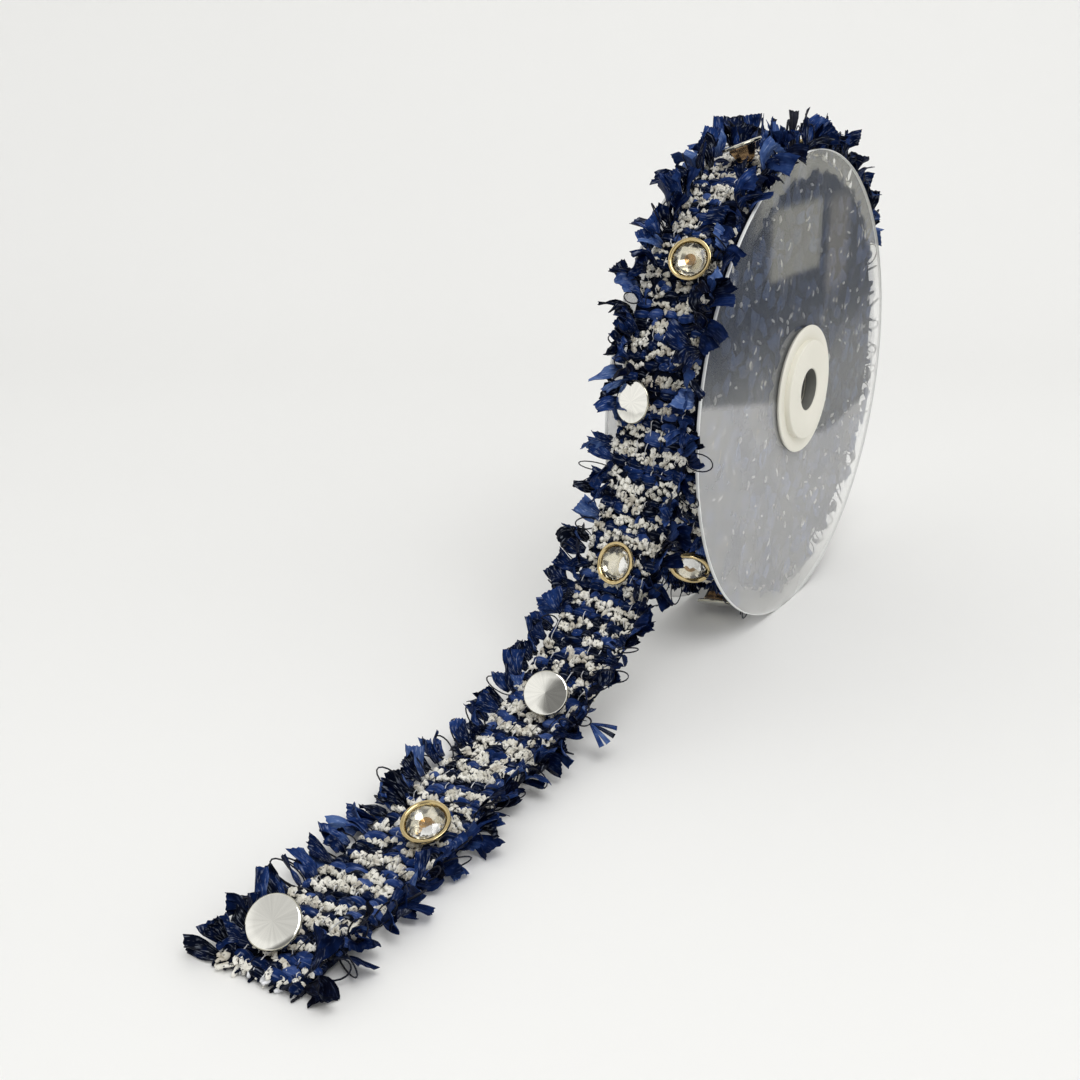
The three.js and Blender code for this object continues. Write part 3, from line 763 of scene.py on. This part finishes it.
# A lump of yarn on the trim, from its half width and half height and the relief of its skin
def add_lump(pile, along, across, height, halves, face, sides, relief, chart=None):
    origin, side, normal, tangent = frames_at(along)
    outward = face * (height - stud_press(along, across))
    path = origin + side * across[:, None] + normal * outward[:, None]
    beside, above = (axis * (face * half)[:, None] for axis, half in zip((tangent, normal), halves))
    pile.tube(path, beside, above, sides, relief, chart)


def add_knob(pile, rng, row, start, end, face, sides):
    rings = 6 if sides > 4 else 5
    share = np.linspace(0, 1, rings)
    bulge = np.sin(math.pi * (0.07 + 0.86 * share)) ** 0.8
    across = start + (end - start) * (share * 1.16 - 0.08) + rng.uniform(-0.2, 0.2) * MM
    slant = rng.uniform(-0.7, 0.7) * (share - 0.5)
    along = row + (rng.uniform(-0.45, 0.45) + slant + rng.uniform(-0.12, 0.12, rings)) * MM
    height = (rng.uniform(0.15, 0.95) + 0.3 * bulge) * MM
    tall = rng.uniform(0.48, 0.92) * MM * bulge * rng.uniform(0.78, 1.18, rings)
    wide = tall * rng.uniform(0.9, 1.25)
    relief = rng.uniform(0.55, 1.35, (rings, sides, 1))
    add_lump(pile, along, across, height, (wide, tall), face, sides, relief)


# A small curl of slub standing on the rows
def add_curl(pile, rng, row, start, end, face):
    steps = 9
    turn = rng.uniform(*ANY_PHASE) + np.linspace(0, rng.uniform(2.2, 4.4), steps)
    wide, deep = rng.uniform(0.35, 0.65, 2) * MM
    across = (start + end) / 2 + rng.uniform(-0.5, 0.5) * MM + wide * np.cos(turn)
    along = row + rng.uniform(-0.5, 0.5) * MM + deep * np.sin(turn)
    height = (rng.uniform(0.7, 1.25) + 0.3 * np.sin(turn * 0.5 + rng.uniform(*ANY_PHASE))) * MM
    height = height - stud_press(along, across)
    radius = rng.uniform(0.26, 0.42) * MM * np.sin(math.pi * np.linspace(0.12, 0.88, steps)) ** 0.5
    radius = radius * rng.uniform(0.6, 1.3, steps)
    pile.round_tube(on_trim(along, across, face * height), radius, frames_at(along)[2], 4)


def chart_of(first, second):
    return np.stack(np.broadcast_arrays(first, second), -1)


# A gathered puff of ribbon, pinched at both ends
def add_puff(pile, rng, number, row, start, end, face):
    rings, sides = 8, 14
    share = np.linspace(0, 1, rings)
    bulge = np.sin(math.pi * (0.05 + 0.9 * share)) ** 0.75
    across = start + (end - start) * (share * 1.06 - 0.03)
    along = row + (rng.uniform(-0.5, 0.5) * bulge + rng.uniform(-0.5, 0.5) * (share - 0.5)) * MM
    tall = (0.25 + rng.uniform(0.45, 0.8) * bulge) * MM
    wide = (0.32 + rng.uniform(0.65, 1.15) * bulge) * MM
    height = (0.1 + rng.uniform(0.2, 0.5) * bulge) * MM
    turn = np.arange(sides)[None] * 2 * math.pi / sides
    pleats = turn * rng.choice((3, 4, 5)) + share[:, None] * rng.uniform(-2, 2) + rng.uniform(*ANY_PHASE)
    relief = 1 + np.sin(pleats) * (0.22 - 0.1 * bulge[:, None])
    # Chart Y is low at the pinched ends, so the painted root shade darkens them
    chart = chart_of(number + 0.05 + turn / 7, 0.3 + 0.5 * bulge[:, None])
    add_lump(pile, along, across, height, (wide, tall), face, sides, relief[..., None], chart)


def add_tweed(name, first, last, pitch, face, seed, sides):
    rng = np.random.default_rng(seed)
    slub, ribbon = Pile(), Pile()
    rows = np.arange(first, last, pitch)
    for index, row in enumerate(rows + rng.uniform(-0.25, 0.25, len(rows)) * MM):
        row = min(max(row, ROLL_START), TAIL_LENGTH - CUT_MARGIN)
        for is_ivory, start, end in row_floats(row, rng):
            if is_ivory and rng.random() > KNOB_GAPS:
                add_knob(slub, rng, row, start, end, face, sides)
                if sides > 4 and rng.random() < CURL_SHARE:
                    add_curl(slub, rng, row, start, end, face)
            elif not is_ivory and (index % 2 == 0 or rng.random() < ODD_PUFF_SHARE):
                add_puff(ribbon, rng, len(ribbon.faces), row, start, end, face)
    return (
        slub.piece(f"slub_{name}", "tweed", [SLUB], sharp=55),
        ribbon.piece(f"woven_ribbon_{name}", "ribbon", [PUFF]),
    )


# Fine warp threads that run along the trim, over and under its rows
def add_warp(name, first, last, seed):
    pile = Pile()
    along = np.append(np.arange(first, last, 0.6 * MM), last)
    normal = frames_at(along)[2]
    for index, lane in enumerate(LANES[1:-1]):
        is_silver = index % 2 == 0
        across = lane + (Noise(seed + index, 4 * MM, 1)(along, 0) - 0.5) * 0.9 * MM
        over = ease((Noise(seed + index + 50, 1.3 * MM, 1)(along, 0) - 0.54) / 0.2)
        lift = (-0.4 + 1.6 * over) * MM - stud_press(along, across)
        radius = (0.11 if is_silver else 0.12) * MM
        pile.round_tube(on_trim(along, across, lift), radius, normal, 4, 0 if is_silver else 1)
    return pile.piece(f"warp_{name}", "tweed", [SILVER_THREAD, DARK_THREAD])


# Foot and axis of a stud that stands tilted on the trim
def stud_place(along, across, tilt, lean):
    origin, side, normal, tangent = frame_at(along)
    axis = normal * math.cos(tilt) * math.cos(lean) + tangent * math.sin(tilt) * math.cos(lean)
    axis = axis + side * math.sin(lean)
    lift = TAPE_HALF_THICKNESS + SEAT_GAP + FOOT_DIP * math.hypot(math.sin(tilt), math.sin(lean))
    return origin + side * across + normal * lift, axis


STUD_FRAMES = [
    stud_place(along * MM, across * MM, math.radians(tilt), math.radians(lean))
    for _, along, across, tilt, lean in STUDS
]

# Fringe
RIM_CLEAR_RADIUS = REEL_RADIUS + 0.3 * MM
RIM_RISE = 3.4 * MM
FLANGE_CLEARANCE = 0.15 * MM
RIBBON_THICKNESS = 0.12 * MM
FRINGE_PITCH = 1.75 * MM
BUNCH_START = 0.74
BUNCH_PULL = 0.8 * MM
INNER_ROOT_SHARE = 0.35
MOST_SWING = 2.2
FLOOR_CLEARANCE = 0.25 * MM
ROLL_FRINGE_START = -338 * MM
HIGH_FRINGE_END = -150 * MM
RIM_FRINGE_START = -100 * MM
RIM_FRINGE_SHARE = 0.35
HANGING_FRINGE_END = 75 * MM
STUD_CLEAR_RADIUS = 5.15 * MM
STUD_CLEAR_HEIGHTS = (3.4 * MM, 8 * MM)
STUD_STEM_RADIUS = 3 * MM
STANDING_ALONG = -79 * MM
STANDING_GAP = 2.4 * MM
STANDING_HEIGHT = 10.5 * MM


def clear_of_flanges(points):
    offset = abs(points[..., 0] - AXIS[0])
    level = (offset > FLANGE_INSIDE - FLANGE_CLEARANCE) & (offset < FLANGE_OUTSIDE + FLANGE_CLEARANCE)
    radius = np.hypot(points[..., 1] - AXIS[1], points[..., 2] - AXIS[2])
    return not np.any(level & (radius < RIM_CLEAR_RADIUS))


# Whether points stay off every stud: its stem, and its head up to a little over the face
def clear_of_studs(points):
    for place, axis in STUD_FRAMES:
        rise = (points - place) @ axis
        radius = np.linalg.norm(points - place - axis * rise[..., None], axis=-1)
        at_head = (rise > STUD_CLEAR_HEIGHTS[0]) & (rise < STUD_CLEAR_HEIGHTS[1])
        at_stem = (rise > 0) & (rise <= STUD_CLEAR_HEIGHTS[0])
        if np.any(at_head & (radius < STUD_CLEAR_RADIUS)) or np.any(at_stem & (radius < STUD_STEM_RADIUS)):
            return False
    return True


# Random creases over a grid, from -1 to 1, straight between a few knots each way
def crumple(rng, rows, columns, cells=(2, 3)):
    knots = rng.uniform(-1, 1, (cells[0] + 1, cells[1] + 1))
    across = np.linspace(0, cells[1], columns)
    lines = np.array([np.interp(across, np.arange(cells[1] + 1), line) for line in knots])
    up = np.linspace(0, cells[0], rows)
    return np.stack([np.interp(up, np.arange(cells[0] + 1), line) for line in lines.T], 1)


# One ribbon end: pinched and pleated at its root, bent from one swing to the next, flared to a
# ragged cut. A swing is the angle from straight up to straight out, in radians.
def ribbon_end(rng, root, axes, swings, sweep, length, halves, hold, columns=11, rows=7):
    side, normal, tangent = axes
    share = np.linspace(0, 1, rows)
    bend = ease((share - hold) / (1 - hold))[:, None]
    swing = swings[0] + (swings[1] - swings[0]) * bend
    lean = unit(normal * np.cos(swing) + side * np.sin(swing) + tangent * sweep * (0.25 + 0.75 * bend))
    middle = root + np.cumsum(lean * length / (rows - 1), axis=0)
    width = unit(tangent - lean * (lean @ tangent)[:, None])
    above = np.cross(lean, width)
    turn = rng.uniform(-1.2, 1.2) * (0.3 + 0.7 * bend) + rng.uniform(-0.8, 0.8) * bend
    width, above = width * np.cos(turn) + above * np.sin(turn), above * np.cos(turn) - width * np.sin(turn)
    place = np.linspace(-1, 1, columns)
    flare = (np.clip((share - 0.05) / 0.7, 0, 1) ** 0.7)[:, None]
    spread = halves[0] + (halves[1] - halves[0]) * flare
    pleats = np.cos(place * math.pi * rng.uniform(1.5, 3.5) + rng.uniform(*ANY_PHASE))
    pleats = pleats * rng.uniform(0.08, 0.28) * MM
    crease = rng.uniform(-0.7, 0.7)
    fold = rng.uniform(-0.8, 0.8) * abs(place - crease) * (0.5 + 0.5 * flare) * spread
    fold = fold + crumple(rng, rows, columns) * 0.3 * spread
    grid = middle[:, None] + width[:, None] * (spread * place)[..., None]
    grid = grid + above[:, None] * (pleats * (0.45 + 0.55 * flare) + fold)[..., None]
    teeth = np.where(np.arange(columns) % 2 == 0, 1, -1) * rng.uniform(0.03, 0.2, columns) * MM
    cut = teeth + rng.uniform(-0.6, 0.6) * MM * place + rng.uniform(-0.3, 0.3) * MM * place**4
    grid[-1] += lean[-1] * cut[:, None]
    grid[..., 2] += np.maximum(0, FLOOR_CLEARANCE - grid[..., 2].min(axis=1, keepdims=True))
    return grid, chart_of(0.1 + 0.4 * (place + 1), share[:, None])


# Length of one end, its half widths at the root and at the cut, its swings, and the share of it that
# doesn't bend: tall over the front and top of the roll, where some lean out over the reel's rims, and
# short behind and under it
def end_shape(rng, along):
    if along < HIGH_FRINGE_END:
        first = rng.uniform(-0.4, 0.15)
        return rng.uniform(2.2, 4.2) * MM, (0.9 * MM, 1.8 * MM), (first, first + rng.uniform(-0.6, 0.3)), 0.05
    if RIM_FRINGE_START < along < 0 and rng.random() < RIM_FRINGE_SHARE:
        first = rng.uniform(0.35, 0.65)
        halves = 0.9 * MM, rng.uniform(1.6, 2.7) * MM
        return rng.uniform(6.6, 8.6) * MM, halves, (first, first + rng.uniform(0.8, 1.6)), 0.2
    if along < 2 * MM:
        length = rng.uniform(6.2, 9.5) * MM
        first = rng.uniform(-0.15, 0.1)
        swings = first, first + rng.uniform(-0.8, 2.3)
        return length, (1.0 * MM, rng.uniform(1.8, 3.0) * MM), swings, RIM_RISE / length
    is_hanging = along < HANGING_FRINGE_END
    first = rng.uniform(0.1, 1.3) if is_hanging else rng.uniform(0.4, 1.45)
    length = rng.uniform(4.0, 7.0) if is_hanging else rng.uniform(3.8, 6.8)
    halves = 0.7 * MM, rng.uniform(1.6, 2.8) * MM
    return length * MM, halves, (first, first + rng.uniform(-0.9, 0.9)), 0.05


# An end that meets a stud leans out further, one that meets a flange bends less, and both grow
# narrower until they clear. One that still meets something after ten tries is left out.
def add_end(pile, rng, number, along, edge):
    origin, side, normal, tangent = frame_at(along)
    place = rng.uniform(6.6, 8.2) if rng.random() < INNER_ROOT_SHARE else rng.uniform(8.4, 9.8)
    root = origin + side * edge * place * MM + normal * rng.uniform(-0.2, 0.9) * MM
    length, halves, swings, hold = end_shape(rng, along)
    sweep = rng.uniform(-1.1, 1.1)
    axes = side * edge, normal, tangent
    for _ in range(10):
        grid, chart = ribbon_end(rng, root, axes, swings, sweep, length, halves, hold)
        is_off_studs = clear_of_studs(grid)
        if is_off_studs and clear_of_flanges(grid):
            pile.slab(grid, RIBBON_THICKNESS, chart + (number, 0))
            return
        further = (swings[1] - swings[0]) * 0.75 if is_off_studs else swings[1] - swings[0] + 0.3
        swings = swings[0], min(swings[0] + further, MOST_SWING)
        halves = halves[0] * 0.92, halves[1] * 0.92


# The ends bunch together once in each band of the tweed, and the near edge keeps a gap for the
# standing loop
def add_fringe(name, edge, first, last, seed, replaced):
    rng = np.random.default_rng(seed)
    pile = Pile()
    places = np.arange(first, last, FRINGE_PITCH)
    places = places + BUNCH_PULL * np.sin((places / BAND_PERIOD + BUNCH_START) * 2 * math.pi)
    for number, along in enumerate(places + rng.uniform(-0.7, 0.7, len(places)) * MM):
        if edge < 0 or abs(along - STANDING_ALONG) > STANDING_GAP:
            add_end(pile, rng, number, min(along, TAIL_LENGTH - CUT_MARGIN), edge)
    return pile.piece(name, "ribbon", [RIBBON, RIBBON_BACK], replaced, sharp=42)


def add_fringes():
    on_tail = []
    for label, edge in (("near", 1), ("far", -1)):
        roll_nodes = [f"fringe_{part}_{label}" for part in ("front", "back", "lower", "under")]
        tail_nodes = [f"fringe_{part}_{label}" for part in ("hang", "bend", "land", "floor")]
        add_fringe(f"fringe_roll_{label}", edge, ROLL_FRINGE_START, 0, 60 + edge, roll_nodes)
        on_tail.append(add_fringe(f"fringe_tail_{label}", edge, 1 * MM, TAIL_LENGTH, 70 + edge, tail_nodes))
    return on_tail


# Dark thread loops that stand out between the ribbon ends
def add_loops(name, first, last, seed):
    rng = np.random.default_rng(seed)
    pile = Pile()
    places = [(along, edge) for along in np.arange(first, last, 5.4 * MM) for edge in (-1, 1)]
    for along, edge in places:
        along += rng.uniform(-1.8, 1.8) * MM
        origin, side, normal, tangent = frame_at(along)
        swing = rng.uniform(0.5, 1.5) if along > 0 else rng.uniform(-0.1, 0.3)
        out = normal * math.cos(swing) + side * edge * math.sin(swing)
        out = unit(out + tangent * rng.uniform(-0.6, 0.6))
        across = unit(np.cross(out, unit(rng.normal(size=3))))
        turn = np.linspace(-0.4, 2 * math.pi + 0.4, 20)
        tall, wide = rng.uniform(2.2, 4.6) * MM, rng.uniform(0.9, 2.1) * MM
        root = origin + side * edge * 9.0 * MM + normal * 0.3 * MM
        path = root + out * (tall * (1 - np.cos(turn)))[:, None] + across * (wide * np.sin(turn))[:, None]
        path[:, 2] = np.maximum(path[:, 2], FLOOR_CLEARANCE)
        if clear_of_flanges(path):
            pile.round_tube(path, 0.17 * MM, np.cross(out, across), 4)
    return pile.piece(name, "ribbon", [DARK_THREAD])


# A dark flared strip and a loop that stand together in a gap of the near fringe over the roll's top
def add_standing_loop():
    pile = Pile()
    origin, side, normal, tangent = frame_at(STANDING_ALONG)
    root = origin + side * 8.6 * MM
    halves = 0.7 * MM, 1.4 * MM
    axes = side, normal, tangent
    rng = np.random.default_rng(55)
    strip, _ = ribbon_end(rng, root, axes, (0.05, -0.1), -0.1, STANDING_HEIGHT, halves, 0.2)
    pile.slab(strip, 2 * RIBBON_THICKNESS)
    turn = np.linspace(0, 2 * math.pi, 24)[:, None]
    rise = normal * STANDING_HEIGHT / 2 * (1 - np.cos(turn))
    pile.round_tube(root + tangent * MM * (1.8 + 1.2 * np.sin(turn)) + rise, 0.3 * MM, side, 6)
    return pile.piece("standing_loop", "ribbon", [DARK_THREAD, DARK_THREAD])


# Four narrow cut strips that hang together from the near edge, with a dark loop at their root
TASSEL_ALONG = 79 * MM
TASSEL_SWEEPS = (-0.55, -0.1, 0.3, 0.7)


def add_tassel():
    pile = Pile()
    origin, side, normal, tangent = frame_at(TASSEL_ALONG)
    root = origin + side * (TAPE_HALF_WIDTH + 3.5 * MM)
    share = np.linspace(0, 1, 7)[:, None]
    place = np.linspace(-1, 1, 5)
    for number, sweep in enumerate(TASSEL_SWEEPS):
        lean = unit(side + tangent * sweep - normal * 0.3)
        width = unit(np.cross(normal, lean))
        half = 0.25 + 0.35 * share
        middle = root + lean * share * 5.5 * MM - normal * share**2 * MM
        grid = middle[:, None] + width * (half * place * MM)[..., None]
        pile.slab(grid, RIBBON_THICKNESS, chart_of(number + 0.1 + 0.4 * (place + 1), 0.4 + 0.6 * share))
    turn = np.linspace(0, 2 * math.pi, 20)[:, None]
    loop = root - side * 1.8 * MM * (1 - np.cos(turn)) + tangent * 1.3 * MM * np.sin(turn)
    pile.round_tube(loop, 0.2 * MM, normal, 4, 2)
    return pile.piece("tassel", "ribbon", [RIBBON, RIBBON_BACK, DARK_THREAD])


# Cut yarn ends that stand out of the loose end's raw edge
def add_raw_edge():
    rng = np.random.default_rng(81)
    pile = Pile()
    origin, side, normal, tangent = frame_at(TAIL_LENGTH)
    for across in np.linspace(-TAPE_HALF_WIDTH, TAPE_HALF_WIDTH, 34):
        start = origin + side * (across + rng.uniform(-0.3, 0.3) * MM) + normal * rng.uniform(-0.7, 0.8) * MM
        lean = unit(tangent + side * rng.uniform(-0.6, 0.6) + normal * rng.uniform(-0.5, 0.4))
        reach = np.linspace(-0.8, rng.uniform(0.5, 2.1), 6)[:, None] * MM
        path = start + lean * reach + normal * reach**2 * rng.uniform(-180, 120)
        radius = rng.uniform(0.22, 0.5) * MM * np.array([0.8, 1, 1, 1, 0.95, 0.6])
        path[:, 2] = np.maximum(path[:, 2], radius + 0.05 * MM)
        pile.round_tube(path, radius, normal, 6, int(rng.integers(0, 4)))
    return pile.piece("raw_edge", "tweed", [SLUB, DARK_THREAD, SILVER_THREAD, GROUND])


# Studs
# Profiles of radius and height in millimetres, from the foot up
CONE_PROFILE = ((0.01, 0), (1.2, 0.2), (2.2, 0.9), (2.4, 1.3), (3.5, 4.0), (3.5, 4.15))
CONE_SIDES = 8
DISC_PROFILE = (
    (3.3, 4.12), (4.7, 4.25), (4.92, 4.36), (5.0, 4.52), (5.0, 4.72), (4.93, 4.9),
    (4.78, 5.02), (4.55, 5.08), (3.2, 5.17), (1.6, 5.24), (0.01, 5.27),
)
DISC_KINDS = (0, 0, 2, 2, 2, 2, 0, 0, 0, 0)
CUP_PROFILE = (
    (0.01, 0), (1.1, 0.2), (1.5, 0.9), (1.7, 2.2), (3.4, 2.6), (4.3, 3.3), (4.72, 4.1), (4.98, 4.5),
    (5.0, 4.75), (4.9, 5.0), (4.65, 5.1), (4.35, 5.02), (4.15, 4.8), (3.95, 4.4), (3.9, 3.6), (0.01, 3.45),
)
FOIL_PROFILE = ((0.01, 3.62), (1.3, 3.8), (3.88, 4.6))
FOIL_SIDES = 16
STUD_STEPS = 72

# Rings of the stone from its table down: radius, height, corners, and turn in sixteenths
STONE_RINGS = ((2.0, 5.5, 8, 0), (3.1, 5.16, 8, 1), (3.85, 4.78, 16, 0), (3.85, 4.68, 16, 0))
STONE_POINT = 3.9
STONE_TURN = 0.7


def scaled(profile):
    return [(radius * MM, height * MM) for radius, height in profile]


def add_silver_stud(number, place, axis):
    pile = Pile()
    pile.turned(scaled(CONE_PROFILE), place, axis, CONE_SIDES, kinds=1)
    pile.turned(scaled(DISC_PROFILE), place, axis, STUD_STEPS, kinds=DISC_KINDS)
    materials = [SILVER, COPPER, SILVER_EDGE]
    pile.piece(f"disc_stud_{number}", "silver", materials, [f"stud_silver_{number}"], sharp=40)


# A round cut stone: table, star facets, kites and a shallow point below
def add_crystal(number, place, axis, turn):
    rings = (
        turned_rings(scaled([(radius, height)]), place, axis, steps, turn + shift * math.pi / 8)[0][0]
        for radius, height, steps, shift in STONE_RINGS
    )
    points = np.vstack([*rings, place + axis * STONE_POINT * MM])
    faces = [tuple(range(8))]
    for k in range(8):
        after = (k + 1) % 8
        kite, edge, edge_after = 8 + k, 16 + 2 * k, 16 + (2 * k + 2) % 16
        faces += [(k, kite, after), (k, edge, kite), (after, kite, edge_after)]
        faces += [(kite, edge, edge + 1), (kite, edge + 1, edge_after)]
    for k in range(16):
        after = (k + 1) % 16
        faces += [(16 + k, 32 + k, 32 + after, 16 + after), (32 + k, 48, 32 + after)]
    mesh = bpy.data.meshes.new(f"stone_{number}")
    mesh.from_pydata(points.tolist(), [], faces)
    mesh.materials.append(CRYSTAL)
    mesh.update()
    finished(f"stone_{number}", mesh, [f"stud_crystal_{number}"])


def add_gold_stud(number, place, axis):
    pile = Pile()
    pile.turned(scaled(CUP_PROFILE), place, axis, STUD_STEPS)
    turn = number * STONE_TURN
    rings, spokes = turned_rings(scaled(FOIL_PROFILE), place, axis, FOIL_SIDES, turn)
    faces = grid_faces(3, FOIL_SIDES, True)
    pile.add(rings, faces, np.tile(spokes, (3, 1)), np.repeat([2, 1], FOIL_SIDES))
    middle = AMBER if number % 4 == 2 else FOIL
    pile.piece(f"cup_stud_{number}", "gold", [GOLD, FOIL, middle], [f"stud_cup_{number}"], sharp=40)
    add_crystal(number, place, axis, turn)


def add_studs():
    for number, ((kind, *_), (place, axis)) in enumerate(zip(STUDS, STUD_FRAMES), 1):
        add = add_silver_stud if kind == "silver" else add_gold_stud
        add(number, place, axis)


# Edges of the wound turns, pressed flat behind each flange, with pale flecks of slub
TURN_PITCH = 3.7 * MM
EDGE_STEP = 3.7 * MM
EDGE_LEVEL = 10.9 * MM
EDGE_RELIEF = 0.06
EDGE_MARGIN = 2.5 * MM
EDGE_FLECK_SHARE = 0.25
EDGE_FLECK_RADII = np.array([0.12, 0.3, 0.38, 0.3, 0.12]) * MM
ALONG_AXIS = np.array([1.0, 0, 0])


def add_wound_side(way, label):
    rng = np.random.default_rng(90 + way)
    pile = Pile()
    angle = 0.0
    number = 0
    while True:
        turn = math.radians(angle)
        outline = read_table(ROLL_OUTLINE, LEAVE_ANGLE + (angle - LEAVE_ANGLE) % 360) * MM
        radius = ROLL_INSIDE + 1 * MM + angle / 360 * TURN_PITCH
        if radius > outline - EDGE_MARGIN:
            break
        out = np.array([0, -math.cos(turn), math.sin(turn)])
        root = AXIS + out * radius + (way * (EDGE_LEVEL - rng.uniform(0.2, 0.6) * MM), 0, 0)
        across = np.array([0, out[2], -out[1]])
        lean = unit(out * rng.uniform(-1, 1) + across * rng.uniform(-0.8, 0.8))
        if rng.random() < EDGE_FLECK_SHARE:
            path = root + lean * (np.linspace(0, rng.uniform(0.8, 2.8), 5) * MM)[:, None]
            path[:, 0] = AXIS[0] + way * EDGE_LEVEL
            pile.round_tube(path, EDGE_FLECK_RADII, ALONG_AXIS, 6, 2)
        else:
            axes = ALONG_AXIS, lean, np.cross(lean, ALONG_AXIS)
            length, half = rng.uniform(3.8, 5.8) * MM, rng.uniform(1.8, 2.9) * MM
            grid, chart = ribbon_end(rng, root, axes, (0, 0), 0, length, (0.5 * MM, half), 0.1, 7, 4)
            level = (abs(grid[..., 0] - AXIS[0]) - EDGE_LEVEL) * EDGE_RELIEF + EDGE_LEVEL
            grid[..., 0] = AXIS[0] + way * level
            pile.slab(grid, RIBBON_THICKNESS, chart + (number, 0))
        number += 1
        angle += math.degrees(EDGE_STEP / radius)
    pile.piece(f"wound_edges_{label}", "ribbon", [SIDE_RIBBON, SIDE_RIBBON, SIDE_FLECK])


# Stage
VIEW_HEADING = np.array([-0.5283, 0.8491, 0.0])
VIEW_RIGHT = np.array([0.8491, 0.5283, 0.0])
FLAT_REACH = 0.33
COVE_RADIUS = 0.22
FLOOR_SPREAD = 3.0
WALL_TOP = 2.0


def add_floor():
    turns = np.linspace(0, math.pi / 2, 20)
    cove = [(FLAT_REACH + COVE_RADIUS * math.sin(t), COVE_RADIUS * (1 - math.cos(t))) for t in turns]
    path = [(-FLOOR_SPREAD, 0), *cove, (FLAT_REACH + COVE_RADIUS, WALL_TOP)]
    grid = np.array([
        [VIEW_HEADING * reach + (0, 0, height) + VIEW_RIGHT * wide for wide in (-FLOOR_SPREAD, FLOOR_SPREAD)]
        for reach, height in path
    ])
    mesh = mesh_from("floor", grid.reshape(-1, 3), grid_faces(len(path), 2)[:, ::-1])
    mesh.materials.append(floor_material())
    floor = linked("floor", mesh)


# A lamp or camera that faces a direction
def aimed(name, data, place, direction):
    made = linked(name, data)
    made.location = place
    made.rotation_euler = direction.to_track_quat("-Z", "Y").to_euler()
    return made


LAMP_PLACE = Vector((0.42, -0.35, 1.08))
LAMP_SIZE = 0.66
LAMP_POWER = 5.6


def add_lamp():
    data = bpy.data.lights.new("key", "AREA")
    data.energy = LAMP_POWER
    data.shape = "RECTANGLE"
    data.size = LAMP_SIZE
    data.size_y = LAMP_SIZE
    aimed("key", data, LAMP_PLACE, Vector(AXIS) - LAMP_PLACE)


# A pale room that the polished faces mirror. Its darker patches have a middle, the cosines from it
# where they start and are full, and the share of light they leave.
ROOM_COLOUR = (1, 0.995, 0.98, 1)
ROOM_STRENGTH = 0.91
ROOM_PATCHES = (
    ((0.28, -0.77, 0.574), (0.915, 0.955), 0.22),
    ((0, 0, 1), (0.68, 0.86), 0.68),
)


def add_room():
    world = bpy.data.worlds.new("room")
    bpy.context.scene.world = world
    world.use_nodes = True
    nodes = Nodes(world.node_tree)
    direction = nodes.node("TexCoord", {}).outputs["Generated"]
    strength = ROOM_STRENGTH
    for middle, cosines, left in ROOM_PATCHES:
        toward = nodes.of_vectors("DOT_PRODUCT", direction, middle)
        strength = nodes.times(nodes.step(toward, *cosines, 1, left), strength)
    background = world.node_tree.nodes["Background"]
    background.inputs["Color"].default_value = ROOM_COLOUR
    nodes.put(strength, background.inputs["Strength"])


CAMERA_OFFSET = Vector((148.1, -346.2, 92.55)) * MM
CAMERA_PITCH = math.radians(-20.17)
FOCAL_PIXELS = 1450
IMAGE_PIXELS = 1080
SENSOR = 36


def add_camera():
    data = bpy.data.cameras.new("camera")
    data.sensor_width = SENSOR
    data.lens = FOCAL_PIXELS / IMAGE_PIXELS * SENSOR
    look = Vector(VIEW_HEADING) * math.cos(CAMERA_PITCH) + Vector((0, 0, math.sin(CAMERA_PITCH)))
    bpy.context.scene.camera = aimed("camera", data, Vector(AXIS) + CAMERA_OFFSET, look)


add_camera()
add_floor()
add_room()
add_lamp()
add_core()
for way, label in ((1, "near"), (-1, "far")):
    add_flange(way, label)
    add_cap(way, label)
    add_wound_side(way, label)
add_wound_body()
add_ground("outer_turn_ground", ROLL_START, 0)
tail_ground = add_ground("tail_ground", 0, TAIL_LENGTH, ["tail"])
add_tweed("front", BACK_END, 0, ROW_PITCH, face=1, seed=31, sides=6)
add_tweed("back", ROLL_START + 1 * MM, BACK_END, 1.5 * MM, face=1, seed=32, sides=4)
tail_pieces = [
    *add_tweed("tail", 0.6 * MM, TAIL_LENGTH, ROW_PITCH, face=1, seed=33, sides=6),
    *add_tweed("tail_under", 4 * MM, 105 * MM, 1.9 * MM, face=-1, seed=34, sides=4),
    add_warp("tail", 0, TAIL_LENGTH, seed=141),
    add_raw_edge(),
    add_tassel(),
    *add_fringes(),
    add_loops("thread_loops_tail", 2 * MM, TAIL_LENGTH - 2 * MM, seed=52),
]
add_warp("roll", ROLL_START, 0, seed=41)
add_loops("thread_loops_roll", -330 * MM, -2 * MM, seed=51)
add_standing_loop()
add_studs()

bpy.context.scene.view_settings.view_transform = "Standard"
